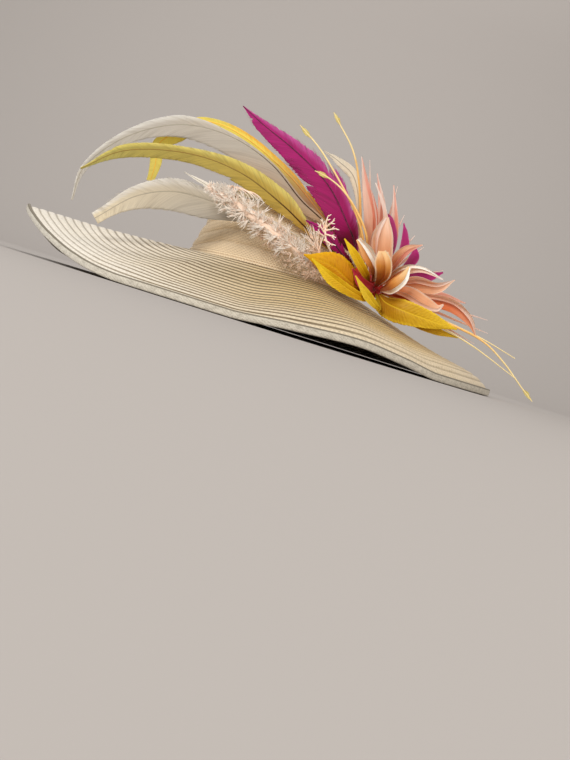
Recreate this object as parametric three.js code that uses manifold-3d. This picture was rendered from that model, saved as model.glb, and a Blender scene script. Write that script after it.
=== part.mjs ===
// Wide-brim dress hat of sewn braid with a draped crown band and a feather flower spray.
// Millimetres. X runs to the right seen from the front, Y to the back, Z up.
// The hat rests on its rim at z = 0, and the brim's circle is centred on the axis x = y = 0
// until the whole group is moved so that the middle of its footprint is the origin.
import * as THREE from "three";
import { mergeVertices } from "three/addons/utils/BufferGeometryUtils.js";
import Module from "manifold-3d";

const wasm = await Module();
wasm.setup();

// Driving sizes
const brimRadius = 250;
const brimThickness = 2;
const bindingDepth = 7;
const bindingThickness = 3.4;
const clearance = 0.3;
const crownHalfWidth = 83.5;
const crownHalfLength = 96;
const crownWall = 1.8;
const crownHeight = 86;
const drapeHeight = 60;
const drapeCloth = 1.4;
const rollSharpness = 14;
const sagPlace = 1.4;
const edgeRounding = 1.5;
const brimInsideCrown = 3.3;

// The head opening lies in a plane tilted a little to the floor.
const opening = { height: 54, slopeX: 0.03, slopeY: -0.025 };

// Facets
const brimSegments = 64;
const crownSegments = 40;
const stepsPerRow = 2;

// The rim, walking round anticlockwise from the right: how high its lower edge lies, how far the brim
// rolls down just inside it, how far it sags between crown and roll, and its reach beyond the circle.
const rimRows = [
  { angle: 0, height: 0, roll: 13, sag: 7, reach: 0 },
  { angle: 25, height: 0, roll: 11, sag: 6, reach: 0 },
  { angle: 60, height: 0, roll: 8, sag: 2, reach: 0 },
  { angle: 100, height: 0, roll: 6, sag: 0, reach: 0 },
  { angle: 136, height: 0, roll: 5, sag: 0, reach: 0 },
  { angle: 158, height: 11, roll: 3, sag: 4, reach: 2 },
  { angle: 175, height: 31, roll: 1, sag: 2.5, reach: 4 },
  { angle: 190, height: 40, roll: 1, sag: 2, reach: 4 },
  { angle: 202, height: 33, roll: 2, sag: 4.5, reach: 3 },
  { angle: 215, height: 19, roll: 2, sag: 5, reach: 1 },
  { angle: 228, height: 6, roll: 3, sag: 3.2, reach: 0 },
  { angle: 238, height: 0.5, roll: 4, sag: 1.2, reach: 0 },
  { angle: 247, height: 0, roll: 3.5, sag: 3.2, reach: 0 },
  { angle: 265, height: 0, roll: 4, sag: 4.5, reach: 0 },
  { angle: 276, height: 4.5, roll: 6, sag: 2.2, reach: 0 },
  { angle: 291, height: 8.3, roll: 8.5, sag: 0.5, reach: 0 },
  { angle: 303, height: 4.3, roll: 11, sag: 3, reach: 0 },
  { angle: 312, height: 0, roll: 12, sag: 4, reach: 0 },
  { angle: 340, height: 0, roll: 13, sag: 6, reach: 0 },
];

// Crown outline from the head opening to the top: height above the opening, share of the base radius
const crownRows = [
  { height: 0, share: 1 },
  { height: 28, share: 0.915 },
  { height: 55, share: 0.84 },
  { height: 70, share: 0.755 },
  { height: 79, share: 0.61 },
  { height: 84.5, share: 0.38 },
];

// Soft pleats of the band: height of the fold at the sides, how far it stands out, its half height
// and how much it rises towards the front
const pleatRows = [
  { height: 6, depth: 3.2, half: 6, rise: 2 },
  { height: 25, depth: 2.6, half: 8, rise: 6 },
  { height: 45, depth: 2.2, half: 8, rise: 5 },
];

const straw = (color, roughness = 0.75) =>
  new THREE.MeshStandardMaterial({ color, roughness, metalness: 0 });
const colours = {
  braid: 0xd8cbb2,
  binding: 0xb3a78f,
  drape: 0xdcc6a4,
  felt: 0xd9cdb8,
  ivory: 0xdcd3c2,
  cream: 0xe6dcc4,
  gold: 0xe9a72a,
  lime: 0xcfbf3c,
  magenta: 0xa01f74,
  crimson: 0xa8203f,
  leaf: 0xdba411,
  olive: 0xc9b233,
  quill: 0xd6cf5a,
  blush: 0xe6c9ae,
  peach: 0xe0a77e,
  coral: 0xdb8a6e,
  pale: 0xecd2c0,
  tan: 0xc9965f,
};

// Solids

/** A closed three.js geometry as a manifold solid: only positions, merged, without collapsed faces. */
function solidOf(geometry) {
  const bare = geometry.index ? geometry.toNonIndexed() : geometry.clone();
  for (const name of Object.keys(bare.attributes)) {
    if (name !== "position") bare.deleteAttribute(name);
  }
  const merged = mergeVertices(bare, 1e-4);
  const index = merged.index.array;
  const kept = [];
  for (let i = 0; i < index.length; i += 3) {
    const [a, b, c] = [index[i], index[i + 1], index[i + 2]];
    if (a !== b && b !== c && c !== a) kept.push(a, b, c);
  }
  return new wasm.Manifold(
    new wasm.Mesh({
      numProp: 3,
      vertProperties: new Float32Array(merged.attributes.position.array),
      triVerts: new Uint32Array(kept),
    }),
  );
}

/** A solid back as a three.js geometry. */
function geometryOf(solid) {
  const mesh = solid.getMesh();
  const geometry = new THREE.BufferGeometry();
  geometry.setAttribute("position", new THREE.BufferAttribute(mesh.vertProperties, 3));
  geometry.setIndex(new THREE.BufferAttribute(mesh.triVerts, 1));
  geometry.computeVertexNormals();
  return geometry;
}

/** The largest single body of a solid, for a piece that a cut has left with crumbs. */
function mainBody(solid) {
  const bodies = solid.decompose();
  return bodies.reduce((best, body) => (body.volume() > best.volume() ? body : best));
}

/** Skins rings of equal count. A loop joins the last ring to the first, otherwise both ends are capped. */
function skin(rings, loop) {
  const count = rings[0].length;
  const positions = rings.flat().flatMap((point) => [point.x, point.y, point.z]);
  const faces = [];
  const bands = loop ? rings.length : rings.length - 1;
  for (let band = 0; band < bands; band++) {
    const near = band * count;
    const far = ((band + 1) % rings.length) * count;
    for (let i = 0; i < count; i++) {
      const next = (i + 1) % count;
      faces.push(near + i, near + next, far + next, near + i, far + next, far + i);
    }
  }
  if (!loop) {
    const last = (rings.length - 1) * count;
    for (let i = 1; i < count - 1; i++) {
      faces.push(0, i + 1, i, last, last + i, last + i + 1);
    }
  }
  const geometry = new THREE.BufferGeometry();
  geometry.setAttribute("position", new THREE.Float32BufferAttribute(positions, 3));
  geometry.setIndex(faces);
  const solid = solidOf(geometry);
  return solid.volume() < 0 ? solidOf(flipped(geometry)) : solid;
}

/** The same geometry with its faces turned round. */
function flipped(geometry) {
  const turned = geometry.clone();
  const index = turned.index.array;
  for (let i = 0; i < index.length; i += 3) {
    [index[i + 1], index[i + 2]] = [index[i + 2], index[i + 1]];
  }
  return turned;
}

// Straw parts

const openingHeight = (x, y) => opening.height + opening.slopeX * x + opening.slopeY * y;

/** A column of the rim table at an angle in degrees, smooth through its rows and never below the floor. */
function rimValue(angle, column) {
  const turn = ((angle % 360) + 360) % 360;
  const count = rimRows.length;
  let i = rimRows.findLastIndex((row) => row.angle <= turn);
  const at = (k) => rimRows[(k + count) % count];
  const span = (at(i + 1).angle - at(i).angle + 360) % 360;
  const t = (turn - at(i).angle) / span;
  const [p, q, r, s] = [i - 1, i, i + 1, i + 2].map((k) => at(k)[column]);
  const cubic =
    q + 0.5 * t * (r - p + t * (2 * p - 5 * q + 4 * r - s + t * (3 * (q - r) + s - p)));
  return Math.max(0, cubic);
}

/** A point of the brim's middle surface: share 0 at the head opening, 1 at the outer edge. */
function brimPoint(angle, share, lift) {
  const radians = THREE.MathUtils.degToRad(angle);
  const edge = brimRadius + rimValue(angle, "reach") - bindingThickness - clearance;
  const halfX = THREE.MathUtils.lerp(crownHalfWidth - brimInsideCrown, edge, share);
  const halfY = THREE.MathUtils.lerp(crownHalfLength - brimInsideCrown, edge, share);
  const x = halfX * Math.cos(radians);
  const y = halfY * Math.sin(radians);
  const start = openingHeight(x * (1 - share), y * (1 - share)) - brimThickness / 2;
  const end = rimValue(angle, "height") + bindingDepth / 2;
  const roll = rimValue(angle, "roll");
  const dip = rimValue(angle, "sag") * Math.sin(Math.PI * share ** sagPlace);
  const z = THREE.MathUtils.lerp(start, end + roll, share) - roll * share ** rollSharpness - dip;
  return new THREE.Vector3(x, y, z + lift);
}

function brim() {
  const shares = [0, 0.3, 0.55, 0.75, 0.86, 0.93, 0.97, 1];
  const half = brimThickness / 2;
  const rings = [];
  for (let i = 0; i < brimSegments; i++) {
    const angle = (360 * i) / brimSegments;
    const top = shares.map((share) => brimPoint(angle, share, half));
    const under = shares.map((share) => brimPoint(angle, share, -half)).reverse();
    rings.push([...top, ...under]);
  }
  return skin(rings, true);
}

function rimBinding() {
  const section = [
    { inset: bindingThickness, up: 0 },
    { inset: edgeRounding / 2, up: 0 },
    { inset: 0, up: edgeRounding },
    { inset: 0, up: bindingDepth - edgeRounding },
    { inset: edgeRounding / 2, up: bindingDepth },
    { inset: bindingThickness, up: bindingDepth },
  ];
  const rings = [];
  for (let i = 0; i < brimSegments; i++) {
    const angle = (360 * i) / brimSegments;
    const radians = THREE.MathUtils.degToRad(angle);
    const height = rimValue(angle, "height");
    const reach = brimRadius + rimValue(angle, "reach");
    rings.push(
      section.map(({ inset, up }) => {
        const radius = reach - inset;
        return new THREE.Vector3(
          radius * Math.cos(radians),
          radius * Math.sin(radians),
          height + up,
        );
      }),
    );
  }
  return skin(rings, true);
}

/** A point beside the crown: its outline's own radius at a height, moved outwards by an offset. */
function crownPoint(angle, height, offset) {
  const radians = THREE.MathUtils.degToRad(angle);
  const above = crownRows.findIndex((row) => row.height >= height);
  const upper = crownRows[Math.max(above, 1)];
  const lower = crownRows[Math.max(above, 1) - 1];
  const t = (height - lower.height) / (upper.height - lower.height);
  const share = THREE.MathUtils.lerp(lower.share, upper.share, t);
  const x = (crownHalfWidth * share + offset) * Math.cos(radians);
  const y = (crownHalfLength * share + offset) * Math.sin(radians);
  return new THREE.Vector3(x, y, openingHeight(x, y) + height);
}

/** A closed cap: the outline turned round the middle, then the same outline back inside it. */
function crown() {
  const mean = (crownHalfWidth + crownHalfLength) / 2;
  const innerScale = 1 - (2 * crownWall) / crownHeight;
  const outer = crownRows.map(({ height, share }) => new THREE.Vector2(mean * share, height));
  const inner = outer
    .slice(0, -1)
    .map(({ x, y }) => new THREE.Vector2(x - crownWall, y * innerScale));
  const profile = [
    new THREE.Vector2(0, crownHeight - crownWall),
    new THREE.Vector2(outer.at(-1).x - crownWall, outer.at(-1).y - crownWall),
    ...inner.reverse(),
    ...outer,
    new THREE.Vector2(0, crownHeight),
  ];
  const cap = new THREE.LatheGeometry(profile, crownSegments);
  cap.rotateX(Math.PI / 2);
  const [a, b] = [crownHalfWidth / mean, crownHalfLength / mean];
  const { slopeX, slopeY, height } = opening;
  const place = new THREE.Matrix4().set(
    a, 0, 0, 0,
    0, b, 0, 0,
    slopeX * a, slopeY * b, 1, height + clearance,
    0, 0, 0, 1,
  );
  const solid = solidOf(cap.applyMatrix4(place));
  return solid.volume() < 0 ? solidOf(flipped(mergeVertices(cap))) : solid;
}

const drapeHeights = [0, 6, 12, 19, 25, 31, 38, 45, 52, drapeHeight];

/** How far the band's cloth stands out at a height: each pleat is a soft bump, highest at the front. */
function pleatDepth(angle, height) {
  const front = -Math.sin(THREE.MathUtils.degToRad(angle));
  return pleatRows.reduce((sum, row) => {
    const off = (height - row.height - row.rise * front) / row.half;
    return sum + (Math.abs(off) < 1 ? row.depth * Math.cos((off * Math.PI) / 2) ** 2 : 0);
  }, 0);
}

/** A point of the band's outer face. */
function drapePoint(angle, height, grow) {
  const out = clearance + drapeCloth + pleatDepth(angle, height) + grow;
  return crownPoint(angle, height, out).add(new THREE.Vector3(0, 0, 2 * clearance));
}

function drape() {
  const innerHeights = [drapeHeight, 55, 28, 0];
  const lift = new THREE.Vector3(0, 0, 2 * clearance);
  const rings = [];
  for (let i = 0; i < crownSegments; i++) {
    const angle = (360 * i) / crownSegments;
    const outer = drapeHeights.map((height) => drapePoint(angle, height, 0));
    const inner = innerHeights.map((height) => crownPoint(angle, height, clearance).add(lift));
    rings.push([...outer, ...inner]);
  }
  return skin(rings, true);
}

// The spray

// Where the spray sits: a felt pad on the crown's front right, and the bound heart of stems on it
const pad = { x: 72, y: -54, z: 84, halfWidth: 13, halfHeight: 19, turn: -34 };
const heart = {
  from: { x: 77, y: -60, z: 78 },
  to: { x: 108, y: -82, z: 64 },
  radius: 9,
};

/** The band's outside as a filled shape, for cutting back what lies against it. */
function bandShape(grow) {
  const rings = drapeHeights.map((height) =>
    Array.from({ length: crownSegments }, (_, i) => {
      const angle = (360 * i) / crownSegments;
      return drapePoint(angle, height, grow);
    }),
  );
  return skin(rings, false);
}

/** An egg-shaped pad turned to lie along the crown, cut back to clear the band behind it. */
function sprayPad(grow = 0) {
  const egg = new THREE.SphereGeometry(1, 14, 9);
  egg.rotateX(Math.PI / 2);
  egg.scale(pad.halfWidth + grow, pad.halfHeight + grow, pad.halfHeight + grow);
  egg.rotateZ(THREE.MathUtils.degToRad(pad.turn));
  egg.translate(pad.x, pad.y, pad.z);
  return mainBody(solidOf(egg).subtract(bandShape(clearance)));
}

/** The heart: a stub of bound stems, swelling in the middle, from the pad outwards. */
function heartStub(grow = 0) {
  const rows = [
    { at: 0, share: 0.7 },
    { at: 0.25, share: 0.95 },
    { at: 0.6, share: 1 },
    { at: 0.88, share: 0.85 },
    { at: 1, share: 0.5 },
  ];
  const [a, b] = [heart.from, heart.to].map(({ x, y, z }) => new THREE.Vector3(x, y, z));
  const along = b.clone().sub(a).normalize();
  const across = new THREE.Vector3(0, 0, 1).cross(along).normalize();
  const up = along.clone().cross(across);
  const rings = rows.map(({ at, share }) => {
    const middle = a.clone().lerp(b, at).addScaledVector(along, at === 1 ? grow : 0);
    return ringRound(middle, across, up, heart.radius * share + grow, 9);
  });
  return skin(rings, false);
}

function ringRound(middle, across, up, radius, sides) {
  return Array.from({ length: sides }, (_, i) => {
    const turn = (2 * Math.PI * i) / sides;
    return middle
      .clone()
      .addScaledVector(across, radius * Math.cos(turn))
      .addScaledVector(up, radius * Math.sin(turn));
  });
}

// A blade's section: how far across in half-widths, and how thick in half-thicknesses
const featherSection = [
  { across: 1, through: 0.25 },
  { across: 0.45, through: 0.55 },
  { across: 0, through: 1 },
  { across: -0.45, through: 0.55 },
  { across: -1, through: 0.25 },
  { across: -0.5, through: -0.5 },
  { across: 0, through: -0.8 },
  { across: 0.5, through: -0.5 },
];
const petalSection = [
  { across: 1, through: 0 },
  { across: 0.5, through: 0.8 },
  { across: -0.5, through: 0.8 },
  { across: -1, through: 0 },
  { across: -0.5, through: -0.8 },
  { across: 0.5, through: -0.8 },
];

/**
 * A feather, leaf or petal: a thin lens-shaped section carried along a smooth path.
 * Each row gives a place on the path and the half-widths to the left and right of it,
 * seen from the front on the way to the tip. The cup bends both edges towards the face.
 */
function blade(spec, grow = 0) {
  const { rows, section = featherSection, thick = 1.2, cup = 0 } = spec;
  const face = new THREE.Vector3(0, -1, 0);
  const path = new THREE.CatmullRomCurve3(
    rows.map(({ x, y, z }) => new THREE.Vector3(x, y, z)),
    false,
    "centripetal",
  );
  const steps = (rows.length - 1) * (spec.steps ?? stepsPerRow);
  const rings = [];
  for (let i = 0; i <= steps; i++) {
    const t = i / steps;
    const point = path.getPoint(t);
    const tangent = path.getTangent(t);
    const end = i === 0 ? -grow : i === steps ? grow : 0;
    point.addScaledVector(tangent, end);
    const side = tangent.clone().cross(face).normalize();
    const normal = side.clone().cross(tangent);
    const row = t * (rows.length - 1);
    const near = rows[Math.floor(row)];
    const far = rows[Math.ceil(row)];
    const left = THREE.MathUtils.lerp(near.left, far.left, row % 1) + grow;
    const right = THREE.MathUtils.lerp(near.right, far.right, row % 1) + grow;
    const half = (thick / 2) * (i === steps ? 0.5 : 1) + grow;
    rings.push(
      section.map(({ across, through }) => {
        const width = across * (across > 0 ? right : left);
        const bend = cup * across * across * Math.max(left, right);
        return point
          .clone()
          .addScaledVector(side, width)
          .addScaledVector(normal, through * half + bend);
      }),
    );
  }
  return skin(rings, false);
}

/** Rows from short lists in the order x, y, z, left, right. */
const sections = (...lists) =>
  lists.map(([x, y, z, left, right]) => ({ x, y, z, left, right }));

const longFeathers = [
  {
    name: "ivory_long_feather",
    colour: colours.ivory,
    rows: sections(
      [69, -58, 88, 1, 1],
      [36, -86, 112, 3, 2],
      [8, -84, 126, 11, 2],
      [-30, -81, 151, 17, 2],
      [-75, -78, 165, 18, 3.5],
      [-125, -74, 162, 12, 9],
      [-174, -70, 134, 7, 6],
      [-204, -66, 94, 4, 3],
      [-206, -64, 62, 1, 1],
    ),
  },
  {
    name: "gold_curled_feather",
    colour: colours.gold,
    rows: sections(
      [74, -56, 92, 1, 1],
      [59, -62, 101, 2, 2],
      [38, -79, 114, 5, 3],
      [19, -79, 127, 8, 4],
      [-5, -78, 143, 9, 5],
      [-30, -76, 156, 7, 5],
      [-59, -73, 168, 5, 5],
      [-87, -70, 174, 5, 4],
      [-111, -66, 171, 14, 4],
      [-127, -62, 157, 12, 5],
      [-142, -59, 139, 7, 6],
      [-139.5, -57, 121, 6, 6],
      [-139.5, -56, 103, 4, 4],
    ),
  },
  {
    name: "lime_long_feather",
    colour: colours.lime,
    rows: sections(
      [68, -60, 84, 1, 1],
      [21, -95, 101, 4, 5],
      [-9, -95, 116, 9, 12],
      [-55, -93, 133, 11, 10],
      [-107, -91, 136, 9, 6],
      [-167, -97, 119, 7, 6],
      [-200, -100, 91, 1, 1],
    ),
  },
  {
    name: "ivory_low_feather",
    colour: colours.ivory,
    rows: sections(
      [67, -60, 78, 1, 1],
      [19, -97, 90, 1, 1],
      [-31, -98, 98, 9, 5],
      [-71, -97, 99, 18, 9],
      [-110, -96, 97, 19, 13],
      [-142, -103, 82, 13, 10],
      [-172, -112, 50, 6, 6],
    ),
  },
  {
    name: "hackle_feather",
    colour: colours.cream,
    thick: 1,
    rows: sections(
      [69, -62, 73, 0.8, 0.8],
      [19, -102, 84, 0.8, 0.8],
      [-41, -103, 100, 0.8, 0.8],
      [-80, -102, 111, 2.6, 2.6],
      [-106, -101, 117, 0.5, 0.5],
    ),
  },
  {
    name: "magenta_feather",
    colour: colours.magenta,
    rows: sections(
      [79, -62, 82, 1, 1],
      [70, -70, 103, 12, 4],
      [57.5, -84, 117, 15, 10],
      [28, -82, 148, 19, 16],
      [-10, -78, 169.5, 14, 10],
      [-52, -74, 187, 8, 4.5],
      [-73, -73, 197, 0.6, 0.6],
    ),
  },
  {
    name: "magenta_short_feather",
    colour: colours.magenta,
    rows: sections(
      [81, -64, 76, 1, 1],
      [59, -101, 88, 7, 6],
      [37, -103, 102, 8, 7],
      [17, -103, 108, 1, 1],
    ),
  },
  {
    name: "cream_back_feather",
    colour: colours.cream,
    rows: sections(
      [75, -54, 90, 1, 1],
      [65, -66, 134, 2, 2],
      [49, -66, 166, 5, 5],
      [32, -66, 175, 4, 4],
      [14, -66, 181, 0.6, 0.6],
    ),
  },
];

// Stripped quills: a bare stem and a small paddle left at the tip
const quillStem = 0.7;
const paddle = 2.6;
const quillPaths = [
  [
    [87, -68, 74],
    [73, -103, 109],
    [57, -105, 131],
    [15, -105, 171],
    [0, -104, 182],
    [-7, -104, 186],
    [-15, -104, 191],
  ],
  [
    [83, -62, 78],
    [65, -80, 134],
    [49, -82, 173],
    [38, -82, 190],
    [22, -82, 206],
    [17, -82, 211],
    [12, -82, 216],
  ],
  [
    [91, -72, 72],
    [75, -106, 112],
    [53, -109, 136],
    [39, -108, 146],
    [27, -108, 151],
    [19, -108, 153],
    [11, -108, 154],
  ],
  [
    [103, -77, 62],
    [149, -90, 58],
    [212, -92, 50],
    [238, -92, 37],
    [265, -92, 17],
    [271, -92, 13],
    [278, -92, 8],
  ],
];
const bareQuillPaths = [
  [
    [103, -79, 64],
    [149, -104, 54],
    [204, -99, 42],
    [252, -99, 25],
  ],
  [
    [103, -76, 66],
    [139, -84, 62],
    [185, -84, 56],
    [213, -84, 52],
    [251, -84, 43],
  ],
];

/** A stripped quill's blade: a stem along its path and, on the last three places, its paddle. */
function quillSpec(name, points, hasPaddle) {
  const last = points.length - 1;
  return {
    name,
    colour: colours.quill,
    section: petalSection,
    thick: 1.3,
    steps: hasPaddle ? 1 : stepsPerRow,
    rows: points.map(([x, y, z], i) => {
      const width = hasPaddle && i === last - 1 ? paddle : quillStem;
      return { x, y, z, left: width, right: width };
    }),
  };
}

const leaves = [
  {
    name: "gold_leaf_back",
    colour: colours.leaf,
    cup: -0.2,
    rows: sections(
      [94, -72, 70, 1.2, 1.2],
      [79, -104, 63, 11, 11],
      [53, -118, 73, 12, 14],
      [24, -128, 75, 0.8, 0.8],
    ),
  },
  {
    name: "gold_leaf_front",
    colour: colours.leaf,
    cup: 0.15,
    rows: sections(
      [99, -75, 68, 1, 1],
      [91, -114, 54, 3.5, 3.5],
      [57, -132, 62, 8, 4],
      [32, -138, 73, 0.8, 0.8],
    ),
  },
  {
    name: "gold_leaf_upright",
    colour: colours.leaf,
    cup: 0.2,
    rows: sections(
      [95, -74, 71, 1, 1],
      [83, -112, 78, 4, 4],
      [69, -119, 90, 4, 4],
      [56, -119, 101, 0.6, 0.6],
    ),
  },
  {
    name: "olive_leaf_small",
    colour: colours.olive,
    cup: 0.2,
    rows: sections(
      [101.6, -77, 66, 1, 1],
      [106.8, -113, 48.5, 2, 2],
      [93, -118, 57, 5, 4],
      [76, -120, 71, 0.6, 0.6],
    ),
  },
  {
    name: "gold_leaf_long",
    colour: colours.leaf,
    cup: -0.15,
    rows: sections(
      [104, -79, 65, 1.2, 1.2],
      [112.5, -97, 57, 7, 12.5],
      [127, -111, 54, 11, 14],
      [157, -114, 52, 9, 8],
      [184, -110, 52, 0.8, 0.8],
    ),
  },
  {
    name: "gold_leaf_low",
    colour: colours.olive,
    rows: sections(
      [105, -79, 64, 1, 1],
      [139, -97, 47, 4, 3],
      [166, -101, 45, 4, 4],
      [189, -99, 45, 0.6, 0.6],
    ),
  },
];

// Cupped petals of the feather flower, from behind forwards
const petals = [
  {
    name: "coral_petal_back",
    colour: colours.coral,
    cup: 0.25,
    rows: sections(
      [99, -68, 74, 2, 2],
      [93, -60, 116, 5, 5],
      [86, -50, 147, 4, 4],
      [72, -42, 179, 0.5, 0.5],
    ),
  },
  {
    name: "coral_petal_tall",
    colour: colours.coral,
    cup: 0.3,
    rows: sections(
      [103, -70, 76, 2, 2],
      [107, -42, 123, 5, 4],
      [101, -28, 150, 3, 3],
      [93, -20, 176, 0.5, 0.5],
    ),
  },
  {
    name: "rose_petal_tip",
    colour: colours.coral,
    cup: 0.2,
    rows: sections(
      [105, -76, 66, 2, 2],
      [127, -58, 72, 3, 3],
      [151, -40, 79, 5, 5],
      [175, -28, 83, 4, 4],
      [200, -18, 84, 0.5, 0.5],
    ),
  },
  {
    name: "pale_petal_tall",
    colour: colours.pale,
    cup: 0.35,
    rows: sections(
      [98, -78, 76, 2, 2],
      [82, -86, 112, 7, 6],
      [73, -90, 134, 7, 7],
      [61, -90, 159, 4, 4],
      [50, -88, 183, 0.5, 0.5],
    ),
  },
  {
    name: "pale_petal_curl",
    colour: colours.pale,
    cup: 0.2,
    rows: sections(
      [102, -76, 76, 1.5, 1.5],
      [98, -76, 116, 2, 2],
      [88, -77, 141, 2, 2],
      [71, -76, 165, 0.5, 0.5],
    ),
  },
  {
    name: "peach_petal_mid",
    colour: colours.peach,
    cup: 0.3,
    rows: sections(
      [101, -81, 74, 1.5, 1.5],
      [97, -97, 92, 9.5, 10],
      [92, -101, 114, 13, 10],
      [89, -97, 134, 3, 3],
    ),
  },
  {
    name: "peach_petal_side",
    colour: colours.peach,
    cup: 0.3,
    rows: sections(
      [103, -76, 72, 2, 2],
      [110, -84, 96, 6, 6],
      [118, -85, 111, 5, 5],
      [132, -82, 121, 0.6, 0.6],
    ),
  },
  {
    name: "peach_petal_arch",
    colour: colours.pale,
    cup: 0.3,
    rows: sections(
      [105, -81, 73, 2, 2],
      [119, -102, 91, 4, 7],
      [135, -113, 95, 4, 3],
      [156, -120, 92, 0.6, 0.6],
    ),
  },
  {
    name: "peach_petal_right",
    colour: colours.peach,
    cup: 0.3,
    rows: sections(
      [109, -76, 68, 2, 2],
      [137, -77, 78, 12, 7],
      [159, -75, 86, 6, 6],
      [174, -70, 99, 0.6, 0.6],
    ),
  },
  {
    name: "peach_petal_long",
    colour: colours.peach,
    cup: 0.35,
    rows: sections(
      [109, -80, 66, 2, 2],
      [144, -91, 70, 6, 6],
      [175, -91, 72, 7, 7],
      [195, -88, 65, 5, 5],
      [208, -85, 52, 0.6, 0.6],
    ),
  },
  {
    name: "pale_petal_low",
    colour: colours.pale,
    cup: -0.3,
    rows: sections(
      [106, -81, 70, 1.5, 1.5],
      [130, -99, 72, 7, 6],
      [147, -102, 68, 7, 6],
      [161, -102, 66, 4, 4],
      [166, -101, 71, 1, 1],
    ),
  },
  {
    name: "tan_petal_cup",
    colour: colours.tan,
    cup: -0.35,
    rows: sections(
      [105, -82, 66, 1.5, 1.5],
      [112, -113, 72, 6, 6],
      [119, -118, 82, 6, 6],
      [123, -115, 94, 2, 2],
    ),
  },
  {
    name: "tan_petal_front",
    colour: colours.tan,
    cup: -0.3,
    rows: sections(
      [101, -80, 68, 1.5, 1.5],
      [100, -111, 82, 7, 7],
      [97, -116, 92, 8.5, 8],
      [95, -114, 101, 5.5, 5],
    ),
  },
  {
    name: "peach_petal_left",
    colour: colours.peach,
    cup: 0.3,
    rows: sections(
      [97, -78, 72, 1.5, 1.5],
      [91, -104, 84, 4.2, 6.5],
      [81, -108, 95, 8, 7.5],
      [69, -107, 105.5, 3, 3],
    ),
  },
];
const magentaPetals = [
  {
    name: "magenta_petal_top",
    colour: colours.magenta,
    cup: 0.2,
    rows: sections(
      [97, -73, 72, 1.5, 1.5],
      [106, -62, 113, 4, 4],
      [98, -50, 138, 3, 3],
      [92, -46, 144, 0.6, 0.6],
    ),
  },
  {
    name: "magenta_petal_side",
    colour: colours.magenta,
    cup: 0.2,
    rows: sections(
      [100, -75, 70, 1.5, 1.5],
      [119, -52, 111, 5, 5],
      [117, -40, 130, 3, 3],
      [113, -34, 141, 0.6, 0.6],
    ),
  },
  {
    name: "magenta_petal_drop",
    colour: colours.magenta,
    cup: 0.2,
    rows: sections(
      [102, -76, 69, 1.2, 1.2],
      [123, -74, 96, 3, 3],
      [129, -72, 108, 5, 5],
      [126, -70, 120, 0.6, 0.6],
    ),
  },
  {
    name: "magenta_petal_bow",
    colour: colours.magenta,
    cup: 0.2,
    rows: sections(
      [102, -75, 70, 1.2, 1.2],
      [123, -66, 86, 2, 2],
      [138, -58, 93, 4, 4],
      [152, -48, 97, 4, 5],
      [165, -40, 105, 0.8, 0.8],
    ),
  },
  {
    name: "crimson_petal",
    colour: colours.crimson,
    cup: 0.2,
    rows: sections(
      [100, -76, 68, 1.2, 1.2],
      [97, -95, 65.5, 4, 4],
      [90, -100, 67, 7, 4],
      [83, -106, 70, 6.5, 3],
      [72, -111, 77, 0.8, 0.8],
    ),
  },
];

// Thin spikes fused to the heart: where the point is, and the half-width at the foot
const spikeRoot = new THREE.Vector3(96, -72, 70);
const spikeRows = [
  { x: 60, y: -58, z: 187, foot: 2 },
  { x: 80, y: -54, z: 164, foot: 2.2 },
  { x: 98, y: -8, z: 178, foot: 2 },
  { x: 112, y: -24, z: 150, foot: 2.2 },
  { x: 129, y: -20, z: 134, foot: 2.2 },
  { x: 141, y: -22, z: 125, foot: 2 },
  { x: 169, y: -8, z: 110, foot: 2 },
  { x: 216, y: -74, z: 71, foot: 2 },
  { x: 222, y: -66, z: 59, foot: 2 },
  { x: 211, y: -74, z: 45, foot: 2 },
];

/** The bound heart with its spikes, one body. */
function heartBurst(grow = 0) {
  let body = heartStub(grow);
  for (const { x, y, z, foot } of spikeRows) {
    const tip = new THREE.Vector3(x, y, z);
    body = body.add(cone(spikeRoot, tip, foot + grow, grow, 5));
  }
  return body;
}

/** A slim cone from a foot to a point. */
function cone(foot, tip, radius, grow, sides) {
  const length = foot.distanceTo(tip);
  const shape = new THREE.ConeGeometry(radius, length + grow, sides);
  shape.translate(0, (length + grow) / 2, 0);
  const along = tip.clone().sub(foot).normalize();
  const turn = new THREE.Quaternion().setFromUnitVectors(new THREE.Vector3(0, 1, 0), along);
  shape.applyQuaternion(turn);
  shape.translate(foot.x, foot.y, foot.z);
  return solidOf(shape);
}

// The blush plume: a soft core with pointed locks all round it
const plumeRows = sections(
  [78, -62, 70, 1.6, 1.6],
  [49, -106, 66, 2, 2],
  [14, -119, 78, 9, 9],
  [-26, -120, 93, 10, 10],
  [-61, -119, 104, 8, 8],
  [-80, -117, 109, 3, 3],
);
const lock = { count: 24, first: 0.3, last: 0.98, length: 15, radius: 2.6, sunk: 2, lean: 1.1, turn: 2.4 };
const plumeTaper = 0.35;

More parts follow.
